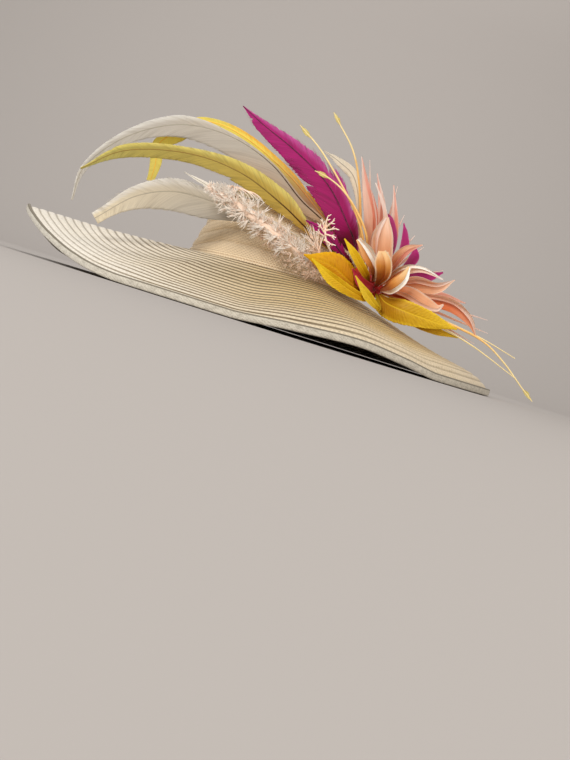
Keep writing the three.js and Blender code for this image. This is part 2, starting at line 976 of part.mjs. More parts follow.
function blushPlume() {
  let body = blade({ rows: plumeRows, thick: 2.4, section: petalSection, steps: 1 });
  const path = new THREE.CatmullRomCurve3(
    plumeRows.map(({ x, y, z }) => new THREE.Vector3(x, y, z)),
    false,
    "centripetal",
  );
  for (let i = 0; i < lock.count; i++) {
    const t = THREE.MathUtils.lerp(lock.first, lock.last, i / (lock.count - 1));
    const foot = path.getPoint(t);
    const along = path.getTangent(t);
    const turn = i * lock.turn;
    const out = new THREE.Vector3(0, -1, 0).cross(along).normalize();
    const front = along.clone().cross(out);
    const lean = along
      .clone()
      .addScaledVector(out, lock.lean * Math.cos(turn))
      .addScaledVector(front, lock.lean * Math.sin(turn))
      .normalize();
    const taper = 1 - plumeTaper * t;
    foot.addScaledVector(lean, -lock.sunk);
    const tip = foot.clone().addScaledVector(lean, lock.length * taper);
    body = body.add(cone(foot, tip, lock.radius * taper, 0, 4));
  }
  return mainBody(body);
}

// The small sprig: a stem with a fan of short branches
const sprigRows = sections(
  [83, -66, 73, 0.9, 0.9],
  [53, -108, 82, 0.9, 0.9],
  [39, -120, 96, 0.9, 0.9],
  [35, -121, 110, 0.8, 0.8],
);
const branchRadius = 1.3;
const branchRows = [
  { x: 35, y: -121, z: 104, dx: 2, dy: -2, dz: 14 },
  { x: 36, y: -121, z: 106, dx: 11, dy: -4, dz: 8 },
  { x: 37, y: -121, z: 101, dx: 13, dy: -2, dz: 2 },
  { x: 38, y: -121, z: 98, dx: 10, dy: -6, dz: -7 },
  { x: 36, y: -121, z: 105, dx: -9, dy: -4, dz: 9 },
  { x: 37, y: -121, z: 101, dx: -13, dy: -2, dz: 3 },
  { x: 38, y: -121, z: 98, dx: -12, dy: -5, dz: -3 },
];

function blushSprig() {
  let body = blade({ rows: sprigRows, thick: 1.6, section: petalSection, steps: 1 });
  for (const { x, y, z, dx, dy, dz } of branchRows) {
    const foot = new THREE.Vector3(x, y, z);
    const tip = foot.clone().add(new THREE.Vector3(dx, dy, dz));
    body = body.add(cone(foot, tip, branchRadius, 0, 4));
  }
  return mainBody(body);
}

// Assembly

const hat = new THREE.Group();

function place(name, solid, colour, roughness) {
  const mesh = new THREE.Mesh(geometryOf(solid), straw(colour, roughness));
  mesh.name = name;
  hat.add(mesh);
}

place("brim", brim(), colours.braid);
place("rim_binding", rimBinding(), colours.binding, 0.85);
place("crown", crown(), colours.braid);
place("crown_drape", drape(), colours.drape, 0.7);
place("spray_pad", sprayPad(), colours.felt, 0.95);
const fatPad = sprayPad(clearance);
const fatHeart = heartBurst(clearance);
place("spray_heart", mainBody(heartBurst().subtract(fatPad)), colours.peach);

const quills = [
  ...quillPaths.map((points, i) => quillSpec(`paddle_quill_${i + 1}`, points, true)),
  ...bareQuillPaths.map((points, i) => quillSpec(`bare_quill_${i + 1}`, points, false)),
];
const flower = [...leaves, ...petals, ...magentaPetals].map((spec) => ({ section: petalSection, ...spec }));

// Every stem ends just short of the pad or the heart that it is bound to.
for (const spec of [...longFeathers, ...quills, ...flower]) {
  const solid = blade(spec).subtract(fatPad).subtract(fatHeart);
  place(spec.name, mainBody(solid), spec.colour);
}
place("blush_plume", mainBody(blushPlume().subtract(fatPad).subtract(fatHeart)), colours.blush, 0.9);
place("blush_sprig", mainBody(blushSprig().subtract(fatPad).subtract(fatHeart)), colours.blush, 0.9);

const box = new THREE.Box3().setFromObject(hat);
const middle = box.getCenter(new THREE.Vector3());
hat.position.set(-middle.x, -middle.y, 0);

export default hat;
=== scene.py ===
import math

import bpy
import numpy as np
from mathutils import Matrix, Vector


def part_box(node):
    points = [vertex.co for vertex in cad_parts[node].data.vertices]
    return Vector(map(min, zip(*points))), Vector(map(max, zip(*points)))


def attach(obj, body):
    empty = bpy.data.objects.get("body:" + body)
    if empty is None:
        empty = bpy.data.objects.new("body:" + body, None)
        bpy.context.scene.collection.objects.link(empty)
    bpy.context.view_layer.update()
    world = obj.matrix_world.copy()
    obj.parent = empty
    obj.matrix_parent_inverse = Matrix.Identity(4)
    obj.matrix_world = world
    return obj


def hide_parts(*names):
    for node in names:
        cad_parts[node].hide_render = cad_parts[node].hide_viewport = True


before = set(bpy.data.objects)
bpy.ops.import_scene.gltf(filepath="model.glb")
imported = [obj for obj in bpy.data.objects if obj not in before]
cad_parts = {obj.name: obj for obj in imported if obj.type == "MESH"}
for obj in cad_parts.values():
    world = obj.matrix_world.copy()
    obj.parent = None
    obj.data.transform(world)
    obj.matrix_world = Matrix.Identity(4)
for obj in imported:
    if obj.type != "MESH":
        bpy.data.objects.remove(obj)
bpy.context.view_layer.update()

LOW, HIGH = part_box("crown")
AXIS = np.array([(LOW.x + HIGH.x) / 2, (LOW.y + HIGH.y) / 2, 0.0])

# sizes, in millimetres, in the hat's own frame: its axis is x = y = 0 and it rests on z = 0
BRIM_RADIUS = 250.0
BRIM_THICKNESS = 2.0
BINDING_DEPTH = 7.0
BINDING_THICKNESS = 3.4
CROWN_HALF = (83.5, 96.0)
CROWN_WALL = 1.8
BRIM_INSIDE = 3.3
ROLL_SHARPNESS = 14
SAG_PLACE = 1.4
OPENING = (54.0, 0.03, -0.025)
BRAID_ROWS = 20
# the first row's random seed, how far a row drifts, in rows, and how deep the grooves lie
ROW_SEED, ROW_DRIFT, GROOVE = 40, 0.045, 0.45
# the play between brim and binding
GAP = 0.3

# a whole turn in radians
TURN = 2 * math.pi

# the mesh cloth's band, and its fold lines: height at the back, climb to the front, size of the waver
BAND_HEIGHT = 60.0
BAND_LENGTH = 564
FOLDS = [(3.5, 11.5, 0.7), (16, 12, 1.0), (31, 8, 1.2), (46, 4, 1.0)]
FOLD_BULGES = [3.2, 2.6, 2.4, 2.2, 1.6]

# metres to the right of the frame's origin, between which the straw's looks, its painted warm light and shade
# among them, change from left to right
BRIM_LEFT = -0.22
CROWN_LEFT = -0.06
CROWN_MIDDLE = 0.02

# angle, height of the lower edge, roll, sag, reach beyond the circle
RIM = np.array([
    [0, 0, 13, 7, 0], [25, 0, 11, 6, 0], [60, 0, 8, 2, 0], [100, 0, 6, 0, 0], [136, 0, 5, 0, 0],
    [158, 11, 3, 4, 2], [175, 31, 1, 2.5, 4], [190, 40, 1, 2, 4], [202, 33, 2, 4.5, 3], [215, 19, 2, 5, 1],
    [228, 6, 3, 3.2, 0], [238, 0.5, 4, 1.2, 0], [247, 0, 3.5, 3.2, 0], [265, 0, 4, 4.5, 0],
    [276, 4.5, 6, 2.2, 0], [291, 8.3, 8.5, 0.5, 0], [303, 4.3, 11, 3, 0], [312, 0, 12, 4, 0],
    [340, 0, 13, 6, 0],
])
# height above the head opening, share of the crown's radius
CROWN = np.array([[0, 1], [28, 0.915], [55, 0.84], [70, 0.755], [79, 0.61], [84.5, 0.38], [86, 0.01]])


# the spray: places on each piece's path with its half-widths to the left and right, seen from the front

FRONT = (0.0, -1.0, 0.0)
LONG_FEATHERS = {
    "ivory_long_feather": [
        (69, -58, 88, 1, 1), (36, -86, 112, 3, 2), (8, -84, 126, 11, 2), (-30, -81, 151, 17, 2),
        (-75, -78, 165, 18, 3.5), (-125, -74, 162, 12, 9), (-174, -70, 134, 7, 6), (-204, -66, 94, 4, 3),
        (-206, -64, 62, 1, 1)],
    "gold_curled_feather": [
        (74, -56, 92, 1, 1), (59, -62, 101, 2, 2), (38, -79, 114, 5, 3), (19, -79, 127, 8, 4),
        (-5, -78, 143, 9, 5), (-30, -76, 156, 7, 5), (-59, -73, 168, 5, 5), (-87, -70, 174, 5, 4),
        (-111, -66, 171, 14, 4), (-127, -62, 157, 12, 5), (-142, -59, 139, 7, 6), (-139.5, -57, 121, 6, 6),
        (-139.5, -56, 103, 4, 4)],
    "lime_long_feather": [
        (68, -60, 84, 1, 1), (21, -95, 101, 4, 5), (-9, -95, 116, 9, 12), (-55, -93, 133, 11, 10),
        (-107, -91, 136, 9, 6), (-167, -97, 119, 7, 6), (-200, -100, 91, 1, 1)],
    "ivory_low_feather": [
        (67, -60, 78, 1, 1), (19, -97, 90, 1, 1), (-31, -98, 98, 9, 5), (-71, -97, 99, 18, 9),
        (-110, -96, 97, 19, 13), (-142, -103, 82, 13, 10), (-172, -112, 50, 6, 6)],
    "hackle_feather": [
        (69, -62, 73, 0.8, 0.8), (19, -102, 84, 0.8, 0.8), (-41, -103, 100, 0.8, 0.8),
        (-80, -102, 111, 2.6, 2.6), (-106, -101, 117, 0.5, 0.5)],
    "magenta_feather": [
        (79, -62, 82, 1, 1), (70, -70, 103, 12, 4), (57.5, -84, 117, 15, 10), (28, -82, 148, 19, 16),
        (-10, -78, 169.5, 14, 10), (-52, -74, 187, 8, 4.5), (-73, -73, 197, 0.6, 0.6)],
    "magenta_short_feather": [
        (81, -64, 76, 1, 1), (59, -101, 88, 7, 6), (37, -103, 102, 8, 7), (17, -103, 108, 1, 1)],
    "cream_back_feather": [
        (75, -54, 90, 1, 1), (65, -66, 134, 2, 2), (49, -66, 166, 5, 5), (32, -66, 175, 4, 4),
        (14, -66, 181, 0.6, 0.6)],
}
QUILL_STEM, PADDLE = 0.7, 2.6
# half a vane's thickness, and a loose barb's radius
VANE_HALF = BARB_RADIUS = 0.16
QUILLS = {
    "paddle_quill_1": [
        (87, -68, 74), (73, -103, 109), (57, -105, 131), (15, -105, 171), (0, -104, 182), (-7, -104, 186),
        (-15, -104, 191)],
    "paddle_quill_2": [
        (83, -62, 78), (65, -80, 134), (49, -82, 173), (38, -82, 190), (22, -82, 206), (17, -82, 211),
        (12, -82, 216)],
    "paddle_quill_3": [
        (91, -72, 72), (75, -106, 112), (53, -109, 136), (39, -108, 146), (27, -108, 151), (19, -108, 153),
        (11, -108, 154)],
    "paddle_quill_4": [
        (103, -77, 62), (149, -90, 58), (212, -92, 50), (238, -92, 37), (265, -92, 17), (271, -92, 13),
        (278, -92, 8)],
    "bare_quill_1": [(103, -79, 64), (149, -104, 54), (204, -99, 42), (252, -99, 25)],
    "bare_quill_2": [(103, -76, 66), (139, -84, 62), (185, -84, 56), (213, -84, 52), (251, -84, 43)],
}
LEAVES = {
    "gold_leaf_back": [
        (94, -72, 70, 1.2, 1.2), (79, -104, 63, 11, 11), (53, -118, 73, 12, 14), (24, -128, 75, 0.8, 0.8)],
    "gold_leaf_front": [
        (99, -75, 68, 1, 1), (91, -114, 54, 3.5, 3.5), (57, -132, 62, 8, 4), (32, -138, 73, 0.8, 0.8)],
    "gold_leaf_upright": [
        (95, -74, 71, 1, 1), (83, -112, 78, 4, 4), (69, -119, 90, 4, 4), (56, -119, 101, 0.6, 0.6)],
    "olive_leaf_small": [
        (101.6, -77, 66, 1, 1), (106.8, -113, 48.5, 2, 2), (93, -118, 57, 5, 4), (76, -120, 71, 0.6, 0.6)],
    "gold_leaf_long": [
        (104, -79, 65, 1.2, 1.2), (112.5, -97, 57, 7, 12.5), (127, -111, 54, 11, 14), (157, -114, 52, 9, 8),
        (184, -110, 52, 0.8, 0.8)],
    "gold_leaf_low": [
        (105, -79, 64, 1, 1), (139, -97, 47, 4, 3), (166, -101, 45, 4, 4), (189, -99, 45, 0.6, 0.6)],
}
PETALS = {
    "coral_petal_back": [
        (99, -68, 74, 2, 2), (93, -60, 116, 5, 5), (86, -50, 147, 4, 4), (72, -42, 179, 0.5, 0.5)],
    "coral_petal_tall": [
        (103, -70, 76, 2, 2), (107, -42, 123, 5, 4), (101, -28, 150, 3, 3), (93, -20, 176, 0.5, 0.5)],
    "rose_petal_tip": [
        (105, -76, 66, 2, 2), (127, -58, 72, 3, 3), (151, -40, 79, 5, 5), (175, -28, 83, 4, 4),
        (200, -18, 84, 0.5, 0.5)],
    "pale_petal_tall": [
        (98, -78, 76, 2, 2), (82, -86, 112, 7, 6), (73, -90, 134, 7, 7), (61, -90, 159, 4, 4),
        (50, -88, 183, 0.5, 0.5)],
    "pale_petal_curl": [
        (102, -76, 76, 1.5, 1.5), (98, -76, 116, 2, 2), (88, -77, 141, 2, 2), (71, -76, 165, 0.5, 0.5)],
    "peach_petal_mid": [
        (101, -81, 74, 1.5, 1.5), (97, -97, 92, 9.5, 10), (92, -101, 114, 13, 10), (89, -97, 134, 3, 3)],
    "peach_petal_side": [
        (103, -76, 72, 2, 2), (110, -84, 96, 6, 6), (118, -85, 111, 5, 5), (132, -82, 121, 0.6, 0.6)],
    "peach_petal_arch": [
        (105, -81, 73, 2, 2), (119, -102, 91, 4, 7), (135, -113, 95, 4, 3), (156, -120, 92, 0.6, 0.6)],
    "peach_petal_right": [
        (109, -76, 68, 2, 2), (137, -77, 78, 12, 7), (159, -75, 86, 6, 6), (174, -70, 99, 0.6, 0.6)],
    "peach_petal_long": [
        (109, -80, 66, 2, 2), (144, -91, 70, 6, 6), (175, -91, 72, 7, 7), (195, -88, 65, 5, 5),
        (208, -85, 52, 0.6, 0.6)],
    "pale_petal_low": [
        (106, -81, 70, 1.5, 1.5), (130, -99, 72, 7, 6), (147, -102, 68, 7, 6), (161, -102, 66, 4, 4),
        (166, -101, 71, 1, 1)],
    "tan_petal_cup": [
        (105, -82, 66, 1.5, 1.5), (112, -113, 72, 6, 6), (119, -118, 82, 6, 6), (123, -115, 94, 2, 2)],
    "tan_petal_front": [
        (101, -80, 68, 1.5, 1.5), (100, -111, 82, 7, 7), (97, -116, 92, 8.5, 8), (95, -114, 101, 5.5, 5)],
    "peach_petal_left": [
        (97, -78, 72, 1.5, 1.5), (91, -104, 84, 4.2, 6.5), (81, -108, 95, 8, 7.5), (69, -107, 105.5, 3, 3)],
    "magenta_petal_top": [
        (97, -73, 72, 1.5, 1.5), (106, -62, 113, 4, 4), (98, -50, 138, 3, 3), (92, -46, 144, 0.6, 0.6)],
    "magenta_petal_side": [
        (100, -75, 70, 1.5, 1.5), (119, -52, 111, 5, 5), (117, -40, 130, 3, 3), (113, -34, 141, 0.6, 0.6)],
    "magenta_petal_drop": [
        (102, -76, 69, 1.2, 1.2), (123, -74, 96, 3, 3), (129, -72, 108, 5, 5), (126, -70, 120, 0.6, 0.6)],
    "magenta_petal_bow": [
        (102, -75, 70, 1.2, 1.2), (123, -66, 86, 2, 2), (138, -58, 93, 4, 4), (152, -48, 97, 4, 5),
        (165, -40, 105, 0.8, 0.8)],
    "crimson_petal": [
        (100, -76, 68, 1.2, 1.2), (97, -95, 65.5, 4, 4), (90, -100, 67, 7, 4), (83, -106, 70, 6.5, 3),
        (72, -111, 77, 0.8, 0.8)],
}
SPIKE_ROOT = (96, -72, 70)
# tip and half-width at the foot
SPIKES = [
    (60, -58, 187, 2), (80, -54, 164, 2.2), (98, -8, 178, 2), (112, -24, 150, 2.2), (129, -20, 134, 2.2),
    (141, -22, 125, 2), (169, -8, 110, 2), (216, -74, 71, 2), (222, -66, 59, 2), (211, -74, 45, 2)]
PLUME = [(78, -62, 70), (49, -106, 66), (14, -119, 78), (-26, -120, 93), (-61, -119, 104), (-80, -117, 109)]
PLUME_WIDTH = [1.6, 2, 9, 10, 8, 3]
DOWN = [(52, -112, 62), (24, -116, 68), (-8, -115, 84), (-30, -114, 92)]
DOWN_WIDTH = [4, 11, 11, 5]
SPRIG = [(83, -66, 73), (53, -108, 82), (39, -120, 96), (35, -121, 110)]
# where a branch leaves the sprig, and the way to its tip
SPRIG_BRANCHES = np.array([
    [35, -121, 106, 0, -2, 10], [36, -121, 105, 6, -3, 9], [36, -121, 102, 10, -3, 5],
    [37, -121, 99, 11, -2, 0], [35, -121, 104, -5, -3, 8], [36, -121, 101, -9, -3, 6],
    [37, -121, 97, -9, -2, 2], [38, -121, 94, 9, -3, -3]], float)
# the foot of the cream tuft and the ends of its strands
FAN = [
    (37, -117, 82), (17, -121, 94), (20, -124, 101), (21, -122, 84), (24, -122, 100), (30, -123, 98),
    (23, -124, 90), (35, -120, 99), (20, -120, 78), (27, -125, 87)]
# rows of barbs: the line of roots from start to end, the line of tips from first to last, the arch, the count
COMB = [
    ((-62, -111, 116), (-53, -111, 118), (-66, -113, 105), (-53, -113, 102), (-3, -1, 3), 8),
    ((-58, -111, 117), (-44, -111, 116), (-42, -113, 109), (-26, -113, 111), (2, -1, 4), 8)]
PAD_PLACE, PAD_SIZE, PAD_TURN = (72, -54, 84), (13, 19, 19), -34
HEART_FROM, HEART_TO, HEART_RADIUS = np.array([77.0, -60, 78]), np.array([108.0, -82, 64]), 9
HEART_OUTLINE = [(0, 0.7), (0.25, 0.95), (0.6, 1.0), (0.88, 0.85), (1.0, 0.5)]
# shares of the way to a spike's tip, and of the half-width at its foot
SPIKE_TAPER = [(0, 1), (0.3, 0.95), (0.6, 0.7), (0.85, 0.35), (1, 0.1)]

# material slot, looks of vane and shaft, radius at root and tip, left and right vane, left and right fringe
FEATHER_SHAPES = {
    "ivory_long_feather": (
        "ivory_feather", "ivory vane", "ivory shaft", (0.7, 0.3),
        {"lean": 2.6, "splits": 0, "seed": 1}, {"lean": 2.6, "splits": 1, "seed": 2}, None, {"density": 0.3}),
    "gold_curled_feather": (
        "gold_feather", "gold vane", "gold shaft", (0.9, 0.3),
        {"splits": 1, "seed": 3}, {"splits": 1, "seed": 4}, None, None),
    "lime_long_feather": (
        "lime_feather", "lime vane", "dark shaft", (0.9, 0.3),
        {"lean": 2.0, "splits": 2, "seed": 5}, {"lean": 1.8, "splits": 1, "seed": 6},
        {"density": 0.3}, {"density": 0.3}),
    "ivory_low_feather": (
        "ivory_feather", "low ivory vane", "pale shaft", (0.8, 0.3),
        {"lean": 2.4, "splits": 0, "seed": 7}, {"lean": 2.4, "splits": 1, "seed": 8}, None, {"density": 0.3}),
    "hackle_feather": (
        "cream_feather", "hackle vane", "pale shaft", (0.5, 0.2),
        {"ragged": 0.15, "seed": 9}, {"ragged": 0.15, "seed": 10}, None, None),
    "magenta_feather": (
        "magenta_feather", "magenta vane", "magenta shaft", (1.0, 0.35),
        {"lean": 1.4, "ragged": 0.1, "splits": 2, "seed": 11},
        {"lean": 1.5, "ragged": 0.2, "splits": 4, "seed": 12},
        {"density": 0.5, "over": 1.03}, {"density": 0.7, "over": 1.04, "spread": 0.4}),
    "magenta_short_feather": (
        "magenta_feather", "short magenta vane", "magenta shaft", (0.8, 0.3),
        {"ragged": 0.5, "splits": 6, "seed": 13}, {"ragged": 0.5, "splits": 6, "seed": 14}, None, None),
    "cream_back_feather": (
        "cream_feather", "cream vane", "pale shaft", (0.7, 0.25),
        {"seed": 15}, {"seed": 16}, {"density": 0.8}, {"density": 0.8}),
}
# look, material slot, shape
LEAF_SHAPES = {
    "gold_leaf_back": ("gold leaf", "gold_leaf", {"cup": -0.2, "serrated": 0.07, "wave": 1.0}),
    "gold_leaf_front": ("front leaf", "gold_leaf", {"cup": 0.15, "serrated": 0.12, "wave": 0.8}),
    "gold_leaf_upright": ("front leaf", "gold_leaf", {"cup": 0.2, "serrated": 0.06}),
    "olive_leaf_small": ("olive leaf", "olive_leaf", {"cup": 0.2, "serrated": 0.06}),
    "gold_leaf_long": ("long leaf", "gold_leaf", {"cup": -0.15, "serrated": 0.06, "wave": 1.2}),
    "gold_leaf_low": ("long leaf", "olive_leaf", {"cup": 0.0, "serrated": 0.05}),
}
# look, material slot, shape, and the share, sway and look of a second biot
PETAL_SHAPES = {
    "coral_petal_back": ("coral petal", "coral_petal", {"cup": 0.25}, (0.5, 0.7, "pale petal")),
    "coral_petal_tall": ("coral petal", "coral_petal", {"cup": 0.3}, (0.5, -0.7, "pale petal")),
    "rose_petal_tip": ("coral petal", "coral_petal", {"cup": 0.2}, None),
    "pale_petal_tall": ("pale petal", "pale_petal", {"cup": 0.35, "curl": 0.3}, (0.45, 0.75, "coral petal")),
    "pale_petal_curl": ("pale petal", "pale_petal", {"cup": 0.2}, None),
    "peach_petal_mid": (
        "peach petal", "peach_petal", {"cup": 0.3, "curl": 0.35, "wave": 1.2}, (0.35, -0.8, "pale petal")),
    "peach_petal_side": (
        "peach petal", "peach_petal", {"cup": 0.3, "curl": 0.3, "wave": 1.2}, (0.4, 0.6, "coral petal")),
    "peach_petal_arch": ("pale petal", "pale_petal", {"cup": 0.3, "curl": 0.3}, (0.4, -0.6, "white edge")),
    "peach_petal_right": (
        "peach petal", "peach_petal", {"cup": 0.3, "curl": 0.4, "wave": 1.4}, (0.4, -0.7, "pale petal")),
    "peach_petal_long": (
        "long petal", "peach_petal", {"cup": 0.35, "curl": 0.4, "wave": 1.0}, (0.4, -0.7, "pale petal")),
    "pale_petal_low": ("peach petal", "pale_petal", {"cup": -0.3, "curl": 0.25}, (0.35, 0.75, "pale petal")),
    # the cup's white second biot carries a painted highlight along its edge
    "tan_petal_cup": (
        "sunny petal", "tan_petal", {"cup": -0.25, "curl": 0.3, "wave": 1.0}, (0.35, 0.8, "white edge")),
    "tan_petal_front": (
        "tan petal", "tan_petal", {"cup": -0.15, "curl": 0.2, "wave": 1.2}, (0.45, 0.75, "sunny petal")),
    # the folded petal's white second biot carries a painted highlight along its curled edge
    "peach_petal_left": (
        "folded petal", "peach_petal", {"cup": 0.3, "curl": 0.5, "wave": 1.2}, (0.26, 0.25, "white edge")),
    "magenta_petal_top": ("magenta petal", "magenta_petal", {"cup": 0.2}, None),
    "magenta_petal_side": ("magenta petal", "magenta_petal", {"cup": 0.2}, None),
    "magenta_petal_drop": ("magenta petal", "magenta_petal", {"cup": 0.2}, None),
    "magenta_petal_bow": ("magenta petal", "magenta_petal", {"cup": 0.2}, None),
    "crimson_petal": ("crimson petal", "crimson_petal", {"cup": 0.2}, None),
}

# the room, in metres
FLOOR, WALL_START, WALL_BEND = -0.0006, 1.6, 1.2
CAMERA_TURN = (2.264, -2.652, 17.3)
CAMERA_PLACE = (0.0, -1.188, 0.008)
SENSOR = 24.0
# in the photo's pixels
FOCAL_LENGTH, PICTURE_HEIGHT = 1142, 760


# mesh building

def pairs(first, second):
    """Every pair of a value of the first with a value of the second, as the rows of one array."""
    return np.stack(np.meshgrid(first, second, indexing="ij"), -1).reshape(-1, 2)


def unit(v):
    return v / np.maximum(np.linalg.norm(v, axis=-1, keepdims=True), 1e-9)


def ring(turn, side, up):
    """A unit circle at each place: the cosine of each angle along its side and the sine along its up."""
    return np.cos(turn)[:, None] * side[..., None, :] + np.sin(turn)[:, None] * up[..., None, :]


def make_object(name, points, faces, uv, materials, slots=None, share=None):
    """One mesh from points in millimetres of the hat's frame. Each face is four corner numbers with a UV
    for each, and a triangle is a face that names one corner twice running. The share is a number from 0 to
    1 on each point."""
    keep = faces != np.roll(faces, 1, axis=1)
    sizes = keep.sum(1)
    mesh = bpy.data.meshes.new(name)
    mesh.vertices.add(len(points))
    mesh.vertices.foreach_set("co", (points * 0.001 + AXIS).astype(np.float32).ravel())
    mesh.loops.add(int(sizes.sum()))
    mesh.loops.foreach_set("vertex_index", faces[keep].astype(np.int32))
    mesh.polygons.add(len(faces))
    mesh.polygons.foreach_set("loop_start", (np.cumsum(sizes) - sizes).astype(np.int32))
    for material in materials:
        mesh.materials.append(material)
    if slots is not None:
        mesh.polygons.foreach_set("material_index", np.asarray(slots, np.int32))
    mesh.polygons.foreach_set("use_smooth", np.ones(len(faces), bool))
    mesh.uv_layers.new(name="UVMap").data.foreach_set("uv", uv[keep].astype(np.float32).ravel())
    if share is not None:
        mesh.attributes.new("share", "FLOAT", "POINT").data.foreach_set("value", share.astype(np.float32))
    mesh.update(calc_edges=True)
    thing = bpy.data.objects.new(name, mesh)
    bpy.context.scene.collection.objects.link(thing)
    return thing


def quads_of(rows, columns, wrap_rows=False, wrap_columns=False):
    """The corner numbers of each square of a grid of rows by columns, one row for each square."""
    i = np.arange(rows if wrap_rows else rows - 1)[:, None]
    j = np.arange(columns if wrap_columns else columns - 1)[None, :]
    i2, j2 = (i + 1) % rows, (j + 1) % columns
    corners = i * columns + j, i2 * columns + j, i2 * columns + j2, i * columns + j2
    return np.stack([corner.ravel() for corner in corners], 1)


def facing(points, faces, uv):
    """The faces and their UVs, turned round if their signed volume is negative. It is the sum of a . (b x
    c) over their triangles."""
    a, b, c, d = (points[faces[:, k]] for k in range(4))
    volume = np.einsum("ij,ij->i", a, np.cross(b, c)).sum() + np.einsum("ij,ij->i", a, np.cross(c, d)).sum()
    return (faces, uv) if volume >= 0 else (faces[:, ::-1], uv[:, ::-1])


def grid_faces(rows, columns, wrap_rows=False, wrap_columns=False):
    """The squares of a grid and the same squares on the unwrapped grid that holds its UVs."""
    faces = quads_of(rows, columns, wrap_rows, wrap_columns)
    return faces, quads_of(rows + wrap_rows, columns + wrap_columns)


def sheet_parts(top, under, uv, share=None, slot=0, wrap=False):
    """A closed thin body: a top grid, an under grid, and walls between their borders.
    A wrapped grid joins its last row to its first, and its UV grid then has one row more."""
    rows, columns = top.shape[:2]
    half = rows * columns
    points = np.concatenate([top.reshape(-1, 3), under.reshape(-1, 3)])
    squares, flat = grid_faces(rows, columns, wrap)
    faces, loops = [squares, squares[:, ::-1] + half], [flat, flat[:, ::-1]]
    i = np.arange(rows if wrap else rows - 1)
    i2 = (i + 1) % rows
    for column, order in ((0, 1), (columns - 1, -1)):
        p, q = i * columns + column, i2 * columns + column
        near, far = p, (i + 1) * columns + column
        faces.append(np.stack([p, p + half, q + half, q], 1)[:, ::order])
        loops.append(np.stack([near, near, far, far], 1)[:, ::order])
    if not wrap:
        j = np.arange(columns - 1)
        for row, order in ((0, -1), (rows - 1, 1)):
            p = row * columns + j
            faces.append(np.stack([p, p + half, p + half + 1, p + 1], 1)[:, ::order])
            loops.append(np.stack([p, p, p + 1, p + 1], 1)[:, ::order])
    faces, loops = np.concatenate(faces), np.concatenate(loops)
    faces, corner_uv = facing(points, faces, uv.reshape(-1, 2)[loops])
    values = np.zeros(half) if share is None else share.ravel()
    return points, faces, corner_uv, np.concatenate([values, values]), slot


def tube_parts(rings, slot=0, share=(0.0, 1.0)):
    """Rings of equal count joined in order, both ends closed to their middle point."""
    count, around = rings.shape[:2]
    points = np.concatenate([rings.reshape(-1, 3), rings[0].mean(0)[None], rings[-1].mean(0)[None]])
    squares, flat = grid_faces(count, around, wrap_columns=True)
    k = np.arange(around)
    k2 = (k + 1) % around
    first, last = np.full(around, count * around), np.full(around, count * around + 1)
    row = (count - 1) * around
    near_end = np.stack([first, k2, k, k], 1)
    far_end = np.stack([last, row + k, row + k2, row + k2], 1)
    faces = np.concatenate([squares, near_end, far_end])
    steps = np.linspace(0, 1, count)
    ends = np.zeros((2 * around, 4, 2))
    ends[around:, :, 0] = 1
    corner_uv = np.concatenate([pairs(steps, np.linspace(0, 1, around + 1))[flat], ends])
    faces, uv = facing(points, faces, corner_uv)
    along = share[0] + (share[1] - share[0]) * steps
    return points, faces, uv, np.concatenate([np.repeat(along, around), along[[0, -1]]]), slot


def strand_parts(root, bend, tip, radius, sides=3, steps=5, taper=0.2, share=(0.0, 1.0)):
    """Many thin strands at once. Each follows the curve (1-w)^2 root + 2w(1-w) bend + w^2 tip, with a small
    ring of points round it at each step that shrinks towards the tip."""
    w = np.linspace(0, 1, steps)[None, :, None]
    curve = (1 - w) ** 2 * root[:, None] + 2 * w * (1 - w) * bend[:, None] + w**2 * tip[:, None]
    along = unit((1 - w) * (bend - root)[:, None] + w * (tip - bend)[:, None] + 1e-6)
    side = unit(np.cross(along, [0.31, -0.83, 0.47]))
    size = (np.asarray(radius) * np.ones(len(root)))[:, None, None] * (1 - (1 - taper) * w)
    circle = ring(np.arange(sides) * TURN / sides, side, np.cross(side, along))
    points = (curve[:, :, None] + size[..., None] * circle).reshape(-1, 3)
    squares, flat = grid_faces(steps, sides, wrap_columns=True)
    cap = np.array([[0, 1, 2, 2 if sides == 3 else 3]])
    one = np.concatenate([squares, cap[:, ::-1], cap + (steps - 1) * sides])
    grid = pairs(np.linspace(0, 1, steps), np.linspace(0, 1, sides + 1))
    one_uv = np.concatenate([grid[flat], np.zeros((1, 4, 2)), np.ones((1, 4, 2))])
    count = steps * sides
    one, one_uv = facing(points[:count], one, one_uv)
    faces = (one[None] + (np.arange(len(root)) * count)[:, None, None]).reshape(-1, 4)
    first, last = np.broadcast_to(share, (len(root), 2)).T[..., None]
    values = np.repeat((first + (last - first) * np.linspace(0, 1, steps)).ravel(), sides)
    return points, faces, np.tile(one_uv, (len(root), 1, 1)), values, 0


def join_parts(name, parts, materials):
    """One object of several closed bodies; each part is points, faces, UVs, shares and a material slot."""
    counts = np.cumsum([0] + [len(part[0]) for part in parts])
    faces = np.concatenate([part[1] + start for part, start in zip(parts, counts)])
    points, uv, share = (np.concatenate([part[k] for part in parts]) for k in (0, 2, 3))
    slots = np.concatenate([np.full(len(part[1]), part[4]) for part in parts])
    return make_object(name, points, faces, uv, materials, slots, share)


def grid_normals(grid):
    """Unit normals of a grid whose rows go round, from the cross product of its two central differences."""
    along = np.roll(grid, -1, 0) - np.roll(grid, 1, 0)
    return unit(np.cross(along, np.gradient(grid, axis=1)))


# curves

